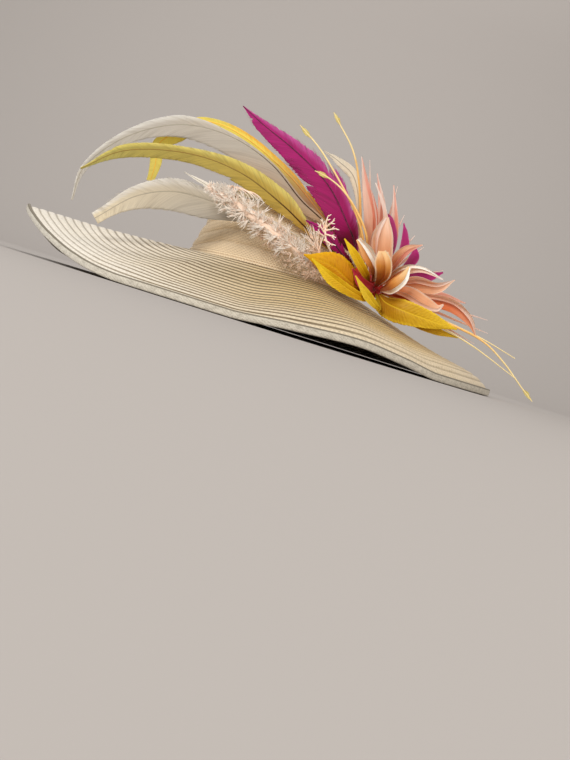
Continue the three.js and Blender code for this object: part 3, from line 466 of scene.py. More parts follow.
def smooth_path(rows, t):
    """Centripetal Catmull-Rom curve through the rows at shares t from 0 to 1. Each span is a cubic whose
    end slopes follow the neighbours, weighted by the square root of their distances."""
    p = np.asarray(rows, float)
    p = np.concatenate([2 * p[:1] - p[1:2], p, 2 * p[-1:] - p[-2:-1]])
    spans = len(rows) - 1
    place = np.clip(np.asarray(t) * spans, 0, spans - 1e-9)
    i = place.astype(int)
    w = (place - i)[..., None]
    x0, x1, x2, x3 = (p[i + k] for k in range(4))
    steps = (b - a for a, b in ((x0, x1), (x1, x2), (x2, x3)))
    d0, d1, d2 = (np.maximum(np.linalg.norm(step, axis=-1, keepdims=True), 1e-6) ** 0.5 for step in steps)
    m1 = ((x1 - x0) / d0 - (x2 - x0) / (d0 + d1) + (x2 - x1) / d1) * d1
    m2 = ((x2 - x1) / d1 - (x3 - x1) / (d1 + d2) + (x3 - x2) / d2) * d1
    return x1 + m1 * w + (3 * (x2 - x1) - 2 * m1 - m2) * w**2 + (2 * (x1 - x2) + m1 + m2) * w**3


def between(a, b, c, d, w):
    """Plain Catmull-Rom: the cubic from b to c at share w whose slope at each end is half the step between
    its neighbours."""
    return b + 0.5 * w * (c - a + w * (2 * a - 5 * b + 4 * c - d + w * (3 * (b - c) + d - a)))


def smooth_values(values, t):
    """A curve through equally spaced values at shares t, never below a small positive number."""
    v = np.asarray(values, float)
    v = np.concatenate([v[:1], v, v[-1:]])
    spans = len(values) - 1
    place = np.clip(np.asarray(t) * spans, 0, spans - 1e-9)
    i = place.astype(int)
    return np.maximum(between(*(v[i + k] for k in range(4)), place - i), 0.12)


def rim_value(angle, column):
    """A column of the rim table at angles in degrees: a curve round the circle, never below zero."""
    turn = np.mod(angle, 360.0)
    starts, count = RIM[:, 0], len(RIM)
    i = np.searchsorted(starts, turn, side="right") - 1
    span = np.mod(starts[(i + 1) % count] - starts[i] + 360, 360)
    near = (RIM[(i + k) % count, column] for k in (-1, 0, 1, 2))
    return np.maximum(0, between(*near, (turn - starts[i]) / span))


def opening_height(x, y):
    return OPENING[0] + OPENING[1] * x + OPENING[2] * y


def brim_middle(angle, share):
    """The brim's middle surface at an angle in degrees and a share from the head opening (0) to the edge (1):
    an ellipse growing to the rim's circle, its height a straight fall plus a rolled edge and a slight sag."""
    a = np.radians(angle)
    edge = BRIM_RADIUS + rim_value(angle, 4) - BINDING_THICKNESS - GAP
    x = ((CROWN_HALF[0] - BRIM_INSIDE) * (1 - share) + edge * share) * np.cos(a)
    y = ((CROWN_HALF[1] - BRIM_INSIDE) * (1 - share) + edge * share) * np.sin(a)
    roll = rim_value(angle, 2)
    start = opening_height(x * (1 - share), y * (1 - share)) - BRIM_THICKNESS / 2
    end = rim_value(angle, 1) + BINDING_DEPTH / 2
    dip = rim_value(angle, 3) * np.sin(np.pi * share**SAG_PLACE)
    z = start * (1 - share) + (end + roll) * share - roll * share**ROLL_SHARPNESS - dip
    return np.stack([x, y, z], -1)


def crown_surface(angle, height, offset):
    """The crown's outline turned round its axis: an ellipse whose share of the base radius falls with
    height."""
    a = np.radians(angle)
    share = np.interp(height, CROWN[:, 0], CROWN[:, 1])
    x = (CROWN_HALF[0] * share + offset) * np.cos(a)
    y = (CROWN_HALF[1] * share + offset) * np.sin(a)
    return np.stack([x, y, opening_height(x, y) + height], -1)


# shader building

class Wires:
    """Adds nodes to a material and joins them."""

    def __init__(self, name):
        self.material = bpy.data.materials.new(name)
        self.material.use_nodes = True
        self.tree = self.material.node_tree
        self.tree.nodes.clear()

    def node(self, kind, inputs, **settings):
        """A node with its settings. An input that is a socket is linked, and any other is set."""
        item = self.tree.nodes.new("ShaderNode" + kind)
        for key, value in settings.items():
            setattr(item, key, value)
        for key, value in inputs.items():
            if isinstance(value, bpy.types.NodeSocket):
                self.tree.links.new(value, item.inputs[key])
            else:
                item.inputs[key].default_value = (*value, 1.0) if isinstance(value, tuple) else value
        return item

    def add(self, kind, inputs=None, out=0, **settings):
        return self.node(kind, inputs or {}, **settings).outputs[out]

    def maths(self, operation, *values):
        return self.add("Math", dict(enumerate(values)), operation=operation)

    def plus(self, a, b):
        return self.maths("ADD", a, b)

    def minus(self, a, b):
        return self.maths("SUBTRACT", a, b)

    def times(self, a, b):
        return self.maths("MULTIPLY", a, b)

    def times_plus(self, a, b, c):
        return self.maths("MULTIPLY_ADD", a, b, c)

    def wave(self, value):
        return self.maths("SINE", value)

    def uv(self):
        return self.node("SeparateXYZ", {0: self.add("UVMap", uv_map="UVMap")}).outputs[:2]

    def place(self):
        return self.add("TexCoord", out=3)

    def sideways(self):
        """The distance to the right of the frame's origin, in metres."""
        return self.add("SeparateXYZ", {0: self.place()})

    def share(self):
        return self.add("Attribute", out=2, attribute_name="share")

    def vector(self, x, y):
        return self.add("CombineXYZ", {0: x, 1: y})

    def noise(self, vector, scale, detail=2.0, roughness=0.5):
        inputs = {"Vector": vector, "Scale": scale, "Detail": detail, "Roughness": roughness}
        return self.add("TexNoise", inputs)

    def ramp(self, value, *stops):
        """A colour ramp; each stop is a place and a colour."""
        item = self.node("ValToRGB", {0: value})
        points = item.color_ramp.elements
        while len(points) < len(stops):
            points.new(0.5)
        for point, (where, colour) in zip(points, stops):
            point.position = where
            point.color = (*colour, 1.0)
        return item.outputs[0]

    def mix(self, share, a, b, blend="MIX"):
        return self.add("Mix", {0: share, 6: a, 7: b}, out=2, data_type="RGBA", blend_type=blend)

    def tinted(self, share, colour, tint):
        """The colour, and where the share is one the colour times the tint."""
        return self.mix(share, colour, self.mix(1.0, colour, tint, "MULTIPLY"))

    def span(self, value, low, high, to_low=0.0, to_high=1.0):
        """A smooth step from one number, where the value is low, to another, where it is high."""
        inputs = dict(enumerate((value, low, high, to_low, to_high)))
        return self.add("MapRange", inputs, interpolation_type="SMOOTHSTEP")

    def bump(self, height, strength, distance):
        return self.add("Bump", {"Height": height, "Strength": strength, "Distance": distance})

    def finish(self, colour, roughness=0.6, normal=None, through=0.0, sheen=0.0, specular=0.3):
        """A principled surface, mixed with light coming through the piece where it is thin."""
        bumped = {} if normal is None else {"Normal": normal}
        inputs = {"Base Color": colour, "Roughness": roughness, "Specular IOR Level": specular}
        surface = self.add("BsdfPrincipled", {**inputs, "Sheen Weight": sheen, **bumped})
        if through:
            lit = self.add("BsdfTranslucent", {"Color": colour, **bumped})
            surface = self.add("MixShader", {0: through, 1: surface, 2: lit})
        self.node("OutputMaterial", {0: surface})
        return self.material


def linear(colour):
    """A colour given as 0 to 255 in display values, as linear light."""
    return tuple(((c / 255 + 0.055) / 1.055) ** 2.4 if c > 10 else c / 255 / 12.92 for c in colour)


def dimmed(colour, *factors):
    return tuple(c * f for c, f in zip(colour, factors))


def braid_look(name, light, seam, inner, outer, painted_warm_light=None):
    """Rows of plaited straw. U is the share of the turn and V the row number; each row has a whole number of
    plaits, a chevron pattern across its width, broken by noise, and a dark seam at its edges. On the brim's
    top the straw gets painted warm light and shade, a golden tint that grows from left to right and fades
    towards the rim, and its seams are broadest and darkest in the middle."""
    w = Wires(name)
    u, v = w.uv()
    row, part = w.maths("FLOOR", v), w.maths("FRACT", v)
    count = w.maths("ROUND", w.times_plus(row, outer, inner))
    middle = w.maths("ABSOLUTE", w.minus(part, 0.5))
    phase = w.times_plus(u, count, w.times(middle, 1.6))
    plait = w.times_plus(w.wave(w.times(phase, TURN)), 0.5, 0.5)
    across = w.times_plus(w.wave(w.times(part, 4 * TURN)), 0.5, 0.5)
    fibre = w.noise(w.vector(w.times(u, 900.0), w.times(v, 5.0)), 1.0, 3.0)
    patch = w.noise(w.place(), 22.0, 3.0)
    specks = w.times(w.span(w.noise(w.place(), 420.0, 1.0), 0.56, 0.7), 0.5)
    straw = w.mix(w.span(fibre, 0.3, 0.7), dimmed(light, 0.84, 0.84, 0.84), light)
    straw = w.mix(w.span(patch, 0.35, 0.75, 0.0, 0.4), straw, dimmed(light, 0.94, 0.9, 0.82))
    straw = w.mix(w.times(w.times(w.minus(1.0, plait), 0.3), fibre), straw, seam)
    straw = w.mix(specks, straw, w.mix(0.4, seam, light))
    broad, strength = 0.0, 0.9
    if painted_warm_light:
        x = w.sideways()
        # painted warm light and shade: the straw is tinted golden and darker towards the leaves at the right,
        # less near the rim
        inward = w.span(v, BRAID_ROWS * 0.6, BRAID_ROWS, 1.0, 0.55)
        straw = w.tinted(w.times(w.span(x, BRIM_LEFT, 0.06), inward), straw, painted_warm_light)
        broad = w.times(w.span(x, BRIM_LEFT, CROWN_LEFT, 0.0, 0.1), w.span(x, CROWN_MIDDLE, 0.14, 1.0, 0.2))
        dark_to_right = w.span(x, BRIM_LEFT, CROWN_LEFT, 0.558, 0.99)
        strength = w.times(dark_to_right, w.span(x, CROWN_MIDDLE, 0.15, 1.0, 0.42))
    edge = w.span(w.plus(middle, broad), 0.32, 0.46, 1.0, 0.0)
    uneven = w.times_plus(w.noise(w.place(), 60.0), 0.4, 0.8)
    colour = w.mix(w.times(w.minus(1.0, edge), w.times(uneven, strength)), straw, seam)
    height = w.times_plus(plait, 0.5, w.times(w.plus(across, fibre), 0.25))
    normal = w.bump(w.times(height, edge), 0.7, 0.0004)
    return w.finish(colour, 0.58, normal, through=0.04, sheen=0.1)


def mottled_look(name, light, dark):
    """A raised plaited band. U is the distance round the rim and V the height from its middle, both in
    millimetres. Noise makes blotches and dark specks, crossing waves raise the plaits, painted shade darkens
    the band towards the right, and a painted shadow line runs along its top where the band meets the brim."""
    w = Wires(name)
    u, v = w.uv()
    place = w.vector(w.times(u, 0.6), v)
    push = w.times(w.noise(place, 0.4), 6.0)
    plaits = w.wave(w.plus(w.times_plus(u, 1.5, w.times(v, 2.6)), push))
    grain = w.noise(place, 1.3, 3.0, 0.65)
    coarse = w.noise(place, 0.3)
    specks = w.span(w.times_plus(coarse, 0.35, grain), 0.64, 0.78, 0.0, 0.5)
    straw = w.mix(w.span(grain, 0.35, 0.65), dimmed(light, 0.7, 0.7, 0.7), light)
    colour = w.mix(specks, straw, dark)
    # painted shade: the band turns darker towards the right, away from the light
    colour = w.tinted(w.span(w.sideways(), -0.24, -0.08, 0.0, 0.4), colour, (0.66, 0.62, 0.55))
    # painted shadow: a dark line along the band's top, under the brim's last row
    painted_shadow_line = w.span(v, 1.9, 2.5, 0.0, 0.9)
    normal = w.bump(w.times_plus(plaits, 0.3, grain), 0.6, 0.0005)
    return w.finish(w.mix(painted_shadow_line, colour, dark), 0.7, normal, sheen=0.1)


def mesh_look(name, light, hole_shade):
    """Fine net cloth. U and V are millimetres along and up the cloth: two sets of threads with tiny holes,
    whose colour is a painted shade.
    """
    w = Wires(name)
    u, v = w.uv()
    a, b = (w.wave(w.times(line, 2.1)) for line in (w.plus(u, v), w.minus(u, v)))
    holes = w.span(w.times(a, b), 0.0, 0.7)
    drift = w.noise(w.place(), 35.0, 3.0)
    colour = w.mix(w.span(drift, 0.3, 0.7), light, dimmed(light, 0.88, 0.88, 0.88))
    # painted shade: the holes turn to a darker brown, as the shaded straw behind the net
    colour = w.mix(w.times(holes, 0.85), colour, hole_shade)
    return w.finish(colour, 0.55, w.bump(w.plus(a, b), 0.5, 0.00025), through=0.12, sheen=0.25)


def vane_look(name, tip, middle, root, edge, barbs=1.0, through=0.35, contrast=0.3, turn=(0.0, 0.35),
              edged=(2.0, 1.8)):
    """A feather's vane. U is the distance from the root in millimetres, V runs from -1 to 1 across the
    shaft. Streaks that are long across the vane and short along it are its barbs. Turn holds the shares
    where the root's colour ends and the middle's is reached, and edged those between which the edge's
    colour comes in."""
    w = Wires(name)
    u, v = w.uv()
    fine = w.noise(w.vector(w.times(u, 1.7 * barbs), w.times(v, 0.8)), 1.0, 2.0, 0.6)
    broad = w.noise(w.vector(w.times(u, 0.22 * barbs), w.times(v, 0.7)), 1.0)
    share = w.share()
    colour = w.ramp(share, (turn[0], root), (turn[1], middle), (1.0, tip))
    if edge:
        # on the magenta vane this edge colour is a painted highlight
        rim = w.span(w.times_plus(fine, 0.9, v), 0.75, 1.3, 0.0, 0.9)
        colour = w.mix(w.times(rim, w.span(share, *edged)), colour, edge)
    colour = w.tinted(w.times(w.span(fine, 0.35, 0.7), contrast), colour, (0.45, 0.42, 0.38))
    colour = w.tinted(w.span(broad, 0.45, 0.75, 0.0, contrast), colour, (0.6, 0.56, 0.5))
    return w.finish(colour, 0.5, w.bump(w.plus(fine, broad), 0.35, 0.0004), through=through, sheen=0.3)


def petal_look(name, root, middle, tip, edge, through, streak=0.25, side=None, pale=(0.62, 1.0)):
    """A dyed feather petal. V runs across it and the share along it: colour runs from the root to the tip,
    one or both edges turn paler, and streaks run lengthwise. Where only one edge turns paler on the folded
    and tan petals, that pale edge is a painted highlight."""
    w = Wires(name)
    v, share = w.uv()[1], w.share()
    lines = w.noise(w.vector(w.times(v, 9.0), w.times(share, 1.6)), 1.0, 3.0, 0.55)
    patch = w.minus(w.noise(w.place(), 60.0), 0.5)
    colour = w.ramp(w.plus(share, w.times(patch, 0.35)), (0.05, root), (0.5, middle), (0.95, tip))
    # on the folded and tan petals only one edge turns paler, and that pale edge is a painted highlight
    out = w.times(v, side) if side else w.maths("ABSOLUTE", v)
    colour = w.mix(w.span(out, *pale, 0.0, 0.9), colour, edge)
    colour = w.tinted(w.times(w.span(lines, 0.4, 0.75), streak), colour, (0.62, 0.42, 0.34))
    return w.finish(colour, 0.42, w.bump(lines, 0.3, 0.0005), through=through, sheen=0.15, specular=0.45)


def leaf_look(name, root, middle, edge):
    """A dyed leaf: a pale midrib, slanting veins and a lighter edge. U is millimetres along it, V runs
    across."""
    w = Wires(name)
    u, v = w.uv()
    out = w.maths("ABSOLUTE", v)
    slant = w.minus(u, w.times(out, 9.0))
    veins = w.wave(w.times(slant, 1.9))
    grain = w.noise(w.vector(w.times(slant, 0.9), w.times(v, 3.0)), 1.0, 3.0)
    colour = w.ramp(w.share(), (0.0, root), (0.4, middle), (1.0, edge))
    colour = w.mix(w.span(out, 0.7, 1.0, 0.0, 0.8), colour, edge)
    colour = w.mix(w.span(grain, 0.4, 0.75, 0.0, 0.35), colour, root)
    colour = w.mix(w.span(out, 0.1, 0.0, 0.0, 0.6), colour, edge)
    normal = w.bump(w.times_plus(veins, 0.35, grain), 0.35, 0.0006)
    return w.finish(colour, 0.5, normal, through=0.25, specular=0.25)


def strand_look(name, dark, light):
    """Loose spikes: the colour runs from root to tip of each, with a little difference between them."""
    w = Wires(name)
    grain = w.noise(w.place(), 260.0, 1.0)
    colour = w.mix(w.times_plus(w.share(), 0.8, w.times(grain, 0.25)), dark, light)
    fibres = w.bump(w.noise(w.place(), 1400.0, 1.0), 0.4, 0.0006)
    return w.finish(colour, 0.6, fibres, sheen=0.5)


def plain_look(name, colour, dark, scale, roughness=0.6):
    """Felt, a bound stub or a dyed shaft: one colour broken by fine fibres."""
    w = Wires(name)
    grain = w.noise(w.place(), scale, 4.0)
    tone = w.mix(w.span(grain, 0.35, 0.7), dark, colour)
    return w.finish(tone, roughness, w.bump(grain, 0.5, 0.0003), sheen=0.2)


def shaft_look(name, root, tip):
    """A feather's shaft, one colour where it is bound and another along its length."""
    w = Wires(name)
    grain = w.noise(w.place(), 240.0)
    colour = w.mix(w.span(w.times_plus(grain, 0.2, w.share()), 0.35, 0.65), root, tip)
    return w.finish(colour, 0.5, specular=0.25)


# finishes, as the colours that each look function takes, and its other settings
FINISHES = {
    braid_look: {
        # the brim's top; its last setting is the tint of its painted warm light and shade
        "sewn straw braid": ((240, 234, 222), (108, 91, 60), {
            "inner": 150.0, "outer": 10.5, "painted_warm_light": (0.7, 0.53, 0.25)}),
        # the brim's underside: the top's straw painted darker and browner as shade
        "sewn straw braid underside": ((205, 190, 158), (88, 70, 40), {"inner": 150.0, "outer": 10.5}),
        "crown straw": ((216, 198, 160), (120, 98, 62), {"inner": 60.0, "outer": 0.0}),
    },
    # the binding's dark colour serves both its specks and its painted shadow line
    mottled_look: {"binding braid": ((242, 236, 221), (104, 95, 78), {})},
    # the mesh cloth's second colour is the painted shade in its holes
    mesh_look: {"mesh cloth": ((250, 228, 192), (170, 130, 84), {})},
    plain_look: {
        "felt": ((214, 196, 166), (170, 146, 112), {"scale": 300.0}),
        "bound heart": ((206, 40, 20), (140, 10, 8), {"scale": 260.0}),
        "magenta shaft": ((120, 14, 70), (70, 6, 40), {"scale": 200.0, "roughness": 0.4}),
    },
    shaft_look: {
        "pale shaft": ((200, 176, 136), (180, 170, 152), {}),
        "gold shaft": ((196, 132, 70), (250, 200, 80), {}),
        "dark shaft": ((84, 48, 14), (156, 128, 62), {}),
        "ivory shaft": ((70, 40, 14), (178, 170, 154), {}),
        "stripped quill": ((242, 190, 112), (244, 222, 162), {}),
    },
    vane_look: {
        "quill paddle": ((244, 232, 150), (240, 224, 134), (236, 210, 120), None, {"through": 0.4}),
        "ivory vane": ((224, 220, 212), (220, 213, 202), (214, 174, 128), (255, 253, 248), {
            "through": 0.45, "contrast": 0.34, "turn": (0.08, 0.42), "edged": (0.35, 0.6)}),
        "low ivory vane": ((246, 236, 212), (216, 209, 196), (222, 200, 168), (255, 252, 246), {
            "through": 0.45, "contrast": 0.34}),
        "gold vane": ((250, 238, 140), (255, 240, 116), (198, 152, 112), (255, 206, 78), {
            "through": 0.5, "contrast": 0.16, "turn": (0.25, 0.45), "edged": (0.6, 0.48)}),
        "lime vane": ((206, 198, 116), (224, 198, 94), (220, 168, 60), (255, 244, 150), {
            "through": 0.5, "contrast": 0.42}),
        "hackle vane": ((255, 252, 244), (248, 240, 224), (228, 196, 156), None, {"contrast": 0.12}),
        "cream vane": ((250, 244, 228), (248, 238, 216), (238, 204, 156), None, {
            "through": 0.4, "contrast": 0.12}),
        # the magenta vane's light purple edge colour is a painted highlight
        "magenta vane": ((206, 30, 146), (190, 10, 116), (136, 4, 52), (226, 100, 184), {
            "barbs": 0.6, "through": 0.4, "contrast": 0.45}),
        "short magenta vane": ((200, 20, 136), (186, 8, 110), (130, 4, 50), None, {
            "barbs": 0.6, "through": 0.4}),
    },
    leaf_look: {
        "gold leaf": ((176, 82, 0), (218, 142, 0), (246, 196, 20), {}),
        "front leaf": ((160, 100, 8), (226, 170, 0), (255, 226, 44), {}),
        "olive leaf": ((150, 110, 10), (216, 176, 16), (250, 220, 60), {}),
        "long leaf": ((150, 84, 10), (196, 142, 10), (250, 216, 50), {}),
    },
    petal_look: {
        "coral petal": ((234, 158, 104), (246, 176, 148), (252, 208, 192), (255, 222, 208), {"through": 0.5}),
        "pale petal": ((240, 168, 104), (250, 218, 196), (255, 244, 236), (255, 248, 242), {"through": 0.45}),
        "peach petal": ((226, 126, 54), (246, 192, 146), (252, 220, 192), (255, 240, 224), {"through": 0.35}),
        "tan petal": ((190, 92, 14), (232, 160, 66), (255, 222, 164), (255, 246, 224), {"through": 0.35}),
        # the folded and tan petals' pale edge on one side is a painted highlight
        "folded petal": ((190, 88, 10), (236, 158, 70), (250, 206, 140), (255, 252, 242), {
            "through": 0.3, "side": 1.0, "pale": (0.3, 0.7)}),
        "sunny petal": ((206, 100, 10), (240, 176, 90), (255, 226, 170), (255, 250, 232), {
            "through": 0.35, "side": 1.0, "pale": (0.4, 0.9)}),
        "long petal": ((216, 104, 40), (236, 140, 84), (246, 190, 150), (255, 236, 216), {
            "through": 0.4, "side": -1.0, "pale": (0.0, 0.7)}),
        # a near-white look: a pale edge, and on the cup and the folded petal a painted highlight
        "white edge": ((240, 190, 130), (255, 246, 232), (255, 254, 250), (255, 255, 252), {
            "through": 0.2, "streak": 0.08}),
        "magenta petal": ((140, 6, 60), (182, 8, 110), (196, 20, 130), (206, 70, 150), {"through": 0.35}),
        "crimson petal": ((130, 6, 20), (180, 14, 44), (204, 36, 60), (210, 60, 80), {"through": 0.25}),
        "peach spike": ((216, 120, 60), (248, 204, 178), (255, 236, 226), (255, 240, 232), {"through": 0.5}),
    },
    strand_look: {"blush spikes": ((236, 188, 148), (255, 250, 240), {})},
}
LOOKS = {
    name: make(name, *(colour and linear(colour) for colour in colours), **settings)
    for make, finishes in FINISHES.items() for name, (*colours, settings) in finishes.items()
}


def put(thing, *nodes, slot):
    """Rides the body and stands for its CAD nodes; the slot is not used."""
    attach(thing, "root")
    if nodes:
        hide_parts(*nodes)


# straw parts

def wavering(angle, seed, size):
    """A soft irregular number round the circle: a few sines of whole turns with random phases."""
    turns = (3, 5, 8, 13)
    phases = np.random.default_rng(seed).uniform(0, TURN, len(turns))
    waves = [np.sin(np.radians(angle) * n + p) / (k + 1) for k, (n, p) in enumerate(zip(turns, phases))]
    return size * sum(waves)


def brim_side(angle, per_row, sign, ridge):
    """One face of the brim as a grid of points, and each column's row number. Each row is a rounded ridge,
    its height the square root of one minus the squared distance from the row's middle, with a groove
    between rows."""
    inside = np.append(np.tile(np.linspace(0, 1, per_row, endpoint=False), BRAID_ROWS), 0.0)
    row = np.append(np.repeat(np.arange(BRAID_ROWS), per_row), BRAID_ROWS)
    v = row + inside
    a, across = np.meshgrid(angle, v, indexing="ij")
    drift = np.stack([wavering(angle, ROW_SEED + int(r), ROW_DRIFT) for r in row], 1)
    drift = drift * np.sin(np.pi * across / BRAID_ROWS)
    middle = brim_middle(a, np.clip((across + drift) / BRAID_ROWS, 0, 1))
    normal = grid_normals(middle)
    normal *= np.sign(normal[..., 2:3])
    lump = ridge * np.sqrt(np.clip(1 - (2 * inside[None, :] - 1) ** 2, 0, 1))
    return middle + normal * (sign * (BRIM_THICKNESS / 2 - GROOVE + lump))[..., None], v


def brim_sheet():
    """The brim: rings of straw from the head opening to the edge, ridged above and more softly below."""
    around = 400
    angle = np.arange(around) * 360 / around
    top, v_top = brim_side(angle, 6, 1, 0.95)
    under, v_under = brim_side(angle, 3, -1, 0.5)
    above, beneath = len(v_top), len(v_under)
    below = around * above
    faces, uv = [], []
    for v, start, order in ((v_top, 0, 1), (v_under, below, -1)):
        squares, flat = grid_faces(around, len(v), wrap_rows=True)
        faces.append(squares[:, ::order] + start)
        uv.append(pairs(np.linspace(0, 1, around + 1), v)[flat][:, ::order])
    i = np.arange(around)
    i2 = (i + 1) % around
    for last, order, v in ((0, 1, 0.0), (1, -1, BRAID_ROWS - 0.01)):
        p, q = (k * above + last * (above - 1) for k in (i, i2))
        r, t = (below + k * beneath + last * (beneath - 1) for k in (i, i2))
        faces.append(np.stack([p, r, t, q], 1)[:, ::order])
        uv.append(np.broadcast_to([0.0, v], (around, 4, 2)))
    slots = np.concatenate([np.full(len(f), n == 1) for n, f in enumerate(faces)])
    points = np.concatenate([top.reshape(-1, 3), under.reshape(-1, 3)])
    faces, uv = facing(points, np.concatenate(faces), np.concatenate(uv))
    # the underside's look is the top's straw with painted shade
    looks = [LOOKS["sewn straw braid"], LOOKS["sewn straw braid underside"]]
    return make_object("sewn_brim", points, faces, uv, looks, slots)


def binding_band():
    """The binding: a rounded band round the rim, its section a squared-off ellipse with three raised
    strands."""
    around, section = 480, 22
    angle = np.arange(around) * 360 / around
    turn = np.arange(section) * TURN / section
    c, s = np.cos(turn), np.sin(turn)
    out = np.sign(c) * np.abs(c) ** 0.75 * BINDING_THICKNESS / 2
    up = np.sign(s) * np.abs(s) ** 0.6 * BINDING_DEPTH / 2
    outside = c > 0.1
    strands = 0.22 * np.abs(np.sin(3 * np.pi * (up / BINDING_DEPTH + 0.5))) * outside
    phase = np.radians(angle)[:, None] * 173 + 3.0 * up[None, :] + wavering(angle, 9, 2.0)[:, None]
    plaits = 0.1 * np.sin(phase) * outside
    radius = BRIM_RADIUS + rim_value(angle, 4) - BINDING_THICKNESS / 2 - GAP
    r = radius[:, None] + out + strands + plaits
    z = rim_value(angle, 1)[:, None] + BINDING_DEPTH / 2 + up
    a = np.radians(angle)[:, None]
    points = np.stack([r * np.cos(a), r * np.sin(a), z], -1).reshape(-1, 3)
    squares, flat = grid_faces(around, section, True, True)
    round_rim = np.linspace(0, TURN * BRIM_RADIUS, around + 1)
    faces, uv = facing(points, squares, pairs(round_rim, np.append(up, up[0]))[flat])
    return make_object("rim_braid", points, faces, uv, [LOOKS["binding braid"]])


def crown_cap():
    """The crown: its outline turned round the axis, up the outside and back down inside, as one closed
    shell."""
    top, around, straw_rows = CROWN[-1, 0], 120, 30
    outline = top * np.sin(np.linspace(0, 1, 40) * np.pi / 2) ** 0.9
    angle = np.arange(around) * 360 / around
    outer = np.stack([crown_surface(angle, h, 0.0) for h in outline])
    walls = [-CROWN_WALL * min(1, (top - h) / 6) for h in outline]
    inner = np.stack([crown_surface(angle, h * 0.975, wall) for h, wall in zip(outline, walls)])
    inner[-1] = outer[-1] - [0, 0, CROWN_WALL]
    rings = np.concatenate([outer, inner[::-1]])
    points = rings.reshape(-1, 3)
    squares, flat = grid_faces(len(rings), around, wrap_rows=True, wrap_columns=True)
    grid = pairs(np.linspace(0, straw_rows, len(rings) + 1), np.linspace(0, 1, around + 1))
    faces, uv = facing(points, squares, grid[flat][..., ::-1])
    return make_object("crown_cap", points, faces, uv, [LOOKS["crown straw"]])


def draped_band():
    """The mesh cloth round the crown. Fold lines climb towards the front, and between two of them the cloth
    bulges like a half ellipse, so that each line is a sharp crease."""
    around, rows = 300, 90
    angle = np.arange(around) * 360 / around
    front = np.where(angle < 330, np.clip((angle - 185) / 60, 0, 1), np.clip((400 - angle) / 70, 0, 1))
    front = front * front * (3 - 2 * front)
    folds = [
        back + climb * front + wavering(angle, seed, size)
        for seed, (back, climb, size) in enumerate(FOLDS, 1)
    ]
    lines = np.stack([np.zeros(around), *folds, np.full(around, BAND_HEIGHT)], 1)
    height = np.linspace(0, BAND_HEIGHT, rows)
    pleat = (height[None, :, None] >= lines[:, None, 1:5]).sum(-1)
    low, high = np.take_along_axis(lines, pleat, 1), np.take_along_axis(lines, pleat + 1, 1)
    inside = (height - low) / np.maximum(high - low, 0.5)
    inside = np.where(pleat == 0, 0.35 + 0.65 * inside, inside)
    bulge = np.sqrt(np.clip(1 - (2 * inside - 1) ** 2, 0, 1)) * np.array(FOLD_BULGES)[pleat]
    a, h = np.meshgrid(angle, height, indexing="ij")
    outer, inner = crown_surface(a, h, 1.5 + bulge), crown_surface(a, h, 0.35)
    outer[..., 2] -= 2.6 * np.clip(1 - h / 4, 0, 1) ** 2
    uv = pairs(np.linspace(0, BAND_LENGTH, around + 1), height)
    return join_parts("draped_band", [sheet_parts(outer, inner, uv, wrap=True)], [LOOKS["mesh cloth"]])


# feathers, leaves and petals

def frames(rows, t):
    """On the path at shares t: the point, the way along it, the way across it to the right seen from the
    front, and the way out of its face."""
    places = np.asarray(rows, float)[:, :3]
    point = smooth_path(places, t)
    step = 0.002
    along = unit(smooth_path(places, np.minimum(t + step, 1)) - smooth_path(places, np.maximum(t - step, 0)))
    side = unit(np.cross(along, FRONT))
    return point, along, side, np.cross(side, along)


def path_length(rows):
    path = smooth_path(np.asarray(rows, float)[:, :3], np.linspace(0, 1, 200))
    return np.linalg.norm(np.diff(path, axis=0), axis=1).sum()


def shaft_parts(rows, root, tip, slot=0, count=60, sides=8, offset=0.0):
    """A feather's shaft: a ring of points round each step of the path, its radius falling from root to
    tip."""
    t = np.linspace(0, 1, count)
    point, _, side, normal = frames(rows, t)
    radius = (root + (tip - root) * t**0.8)[:, None, None]
    circle = ring(np.arange(sides) * TURN / sides, side, normal)
    return tube_parts(point[:, None] + offset * normal[:, None] + radius * circle, slot)


def reached_width(rows, right, w, lean):
    """The half-width where a barb that leaves the shaft at share w ends: the table's value at w + lean times
    itself, found by putting the value in twice."""
    table = np.asarray(rows, float)[:, 4 if right else 3]
    width = smooth_values(table, w)
    for _ in range(2):
        width = smooth_values(table, np.clip(w + lean * width, 0, 1))
    return width


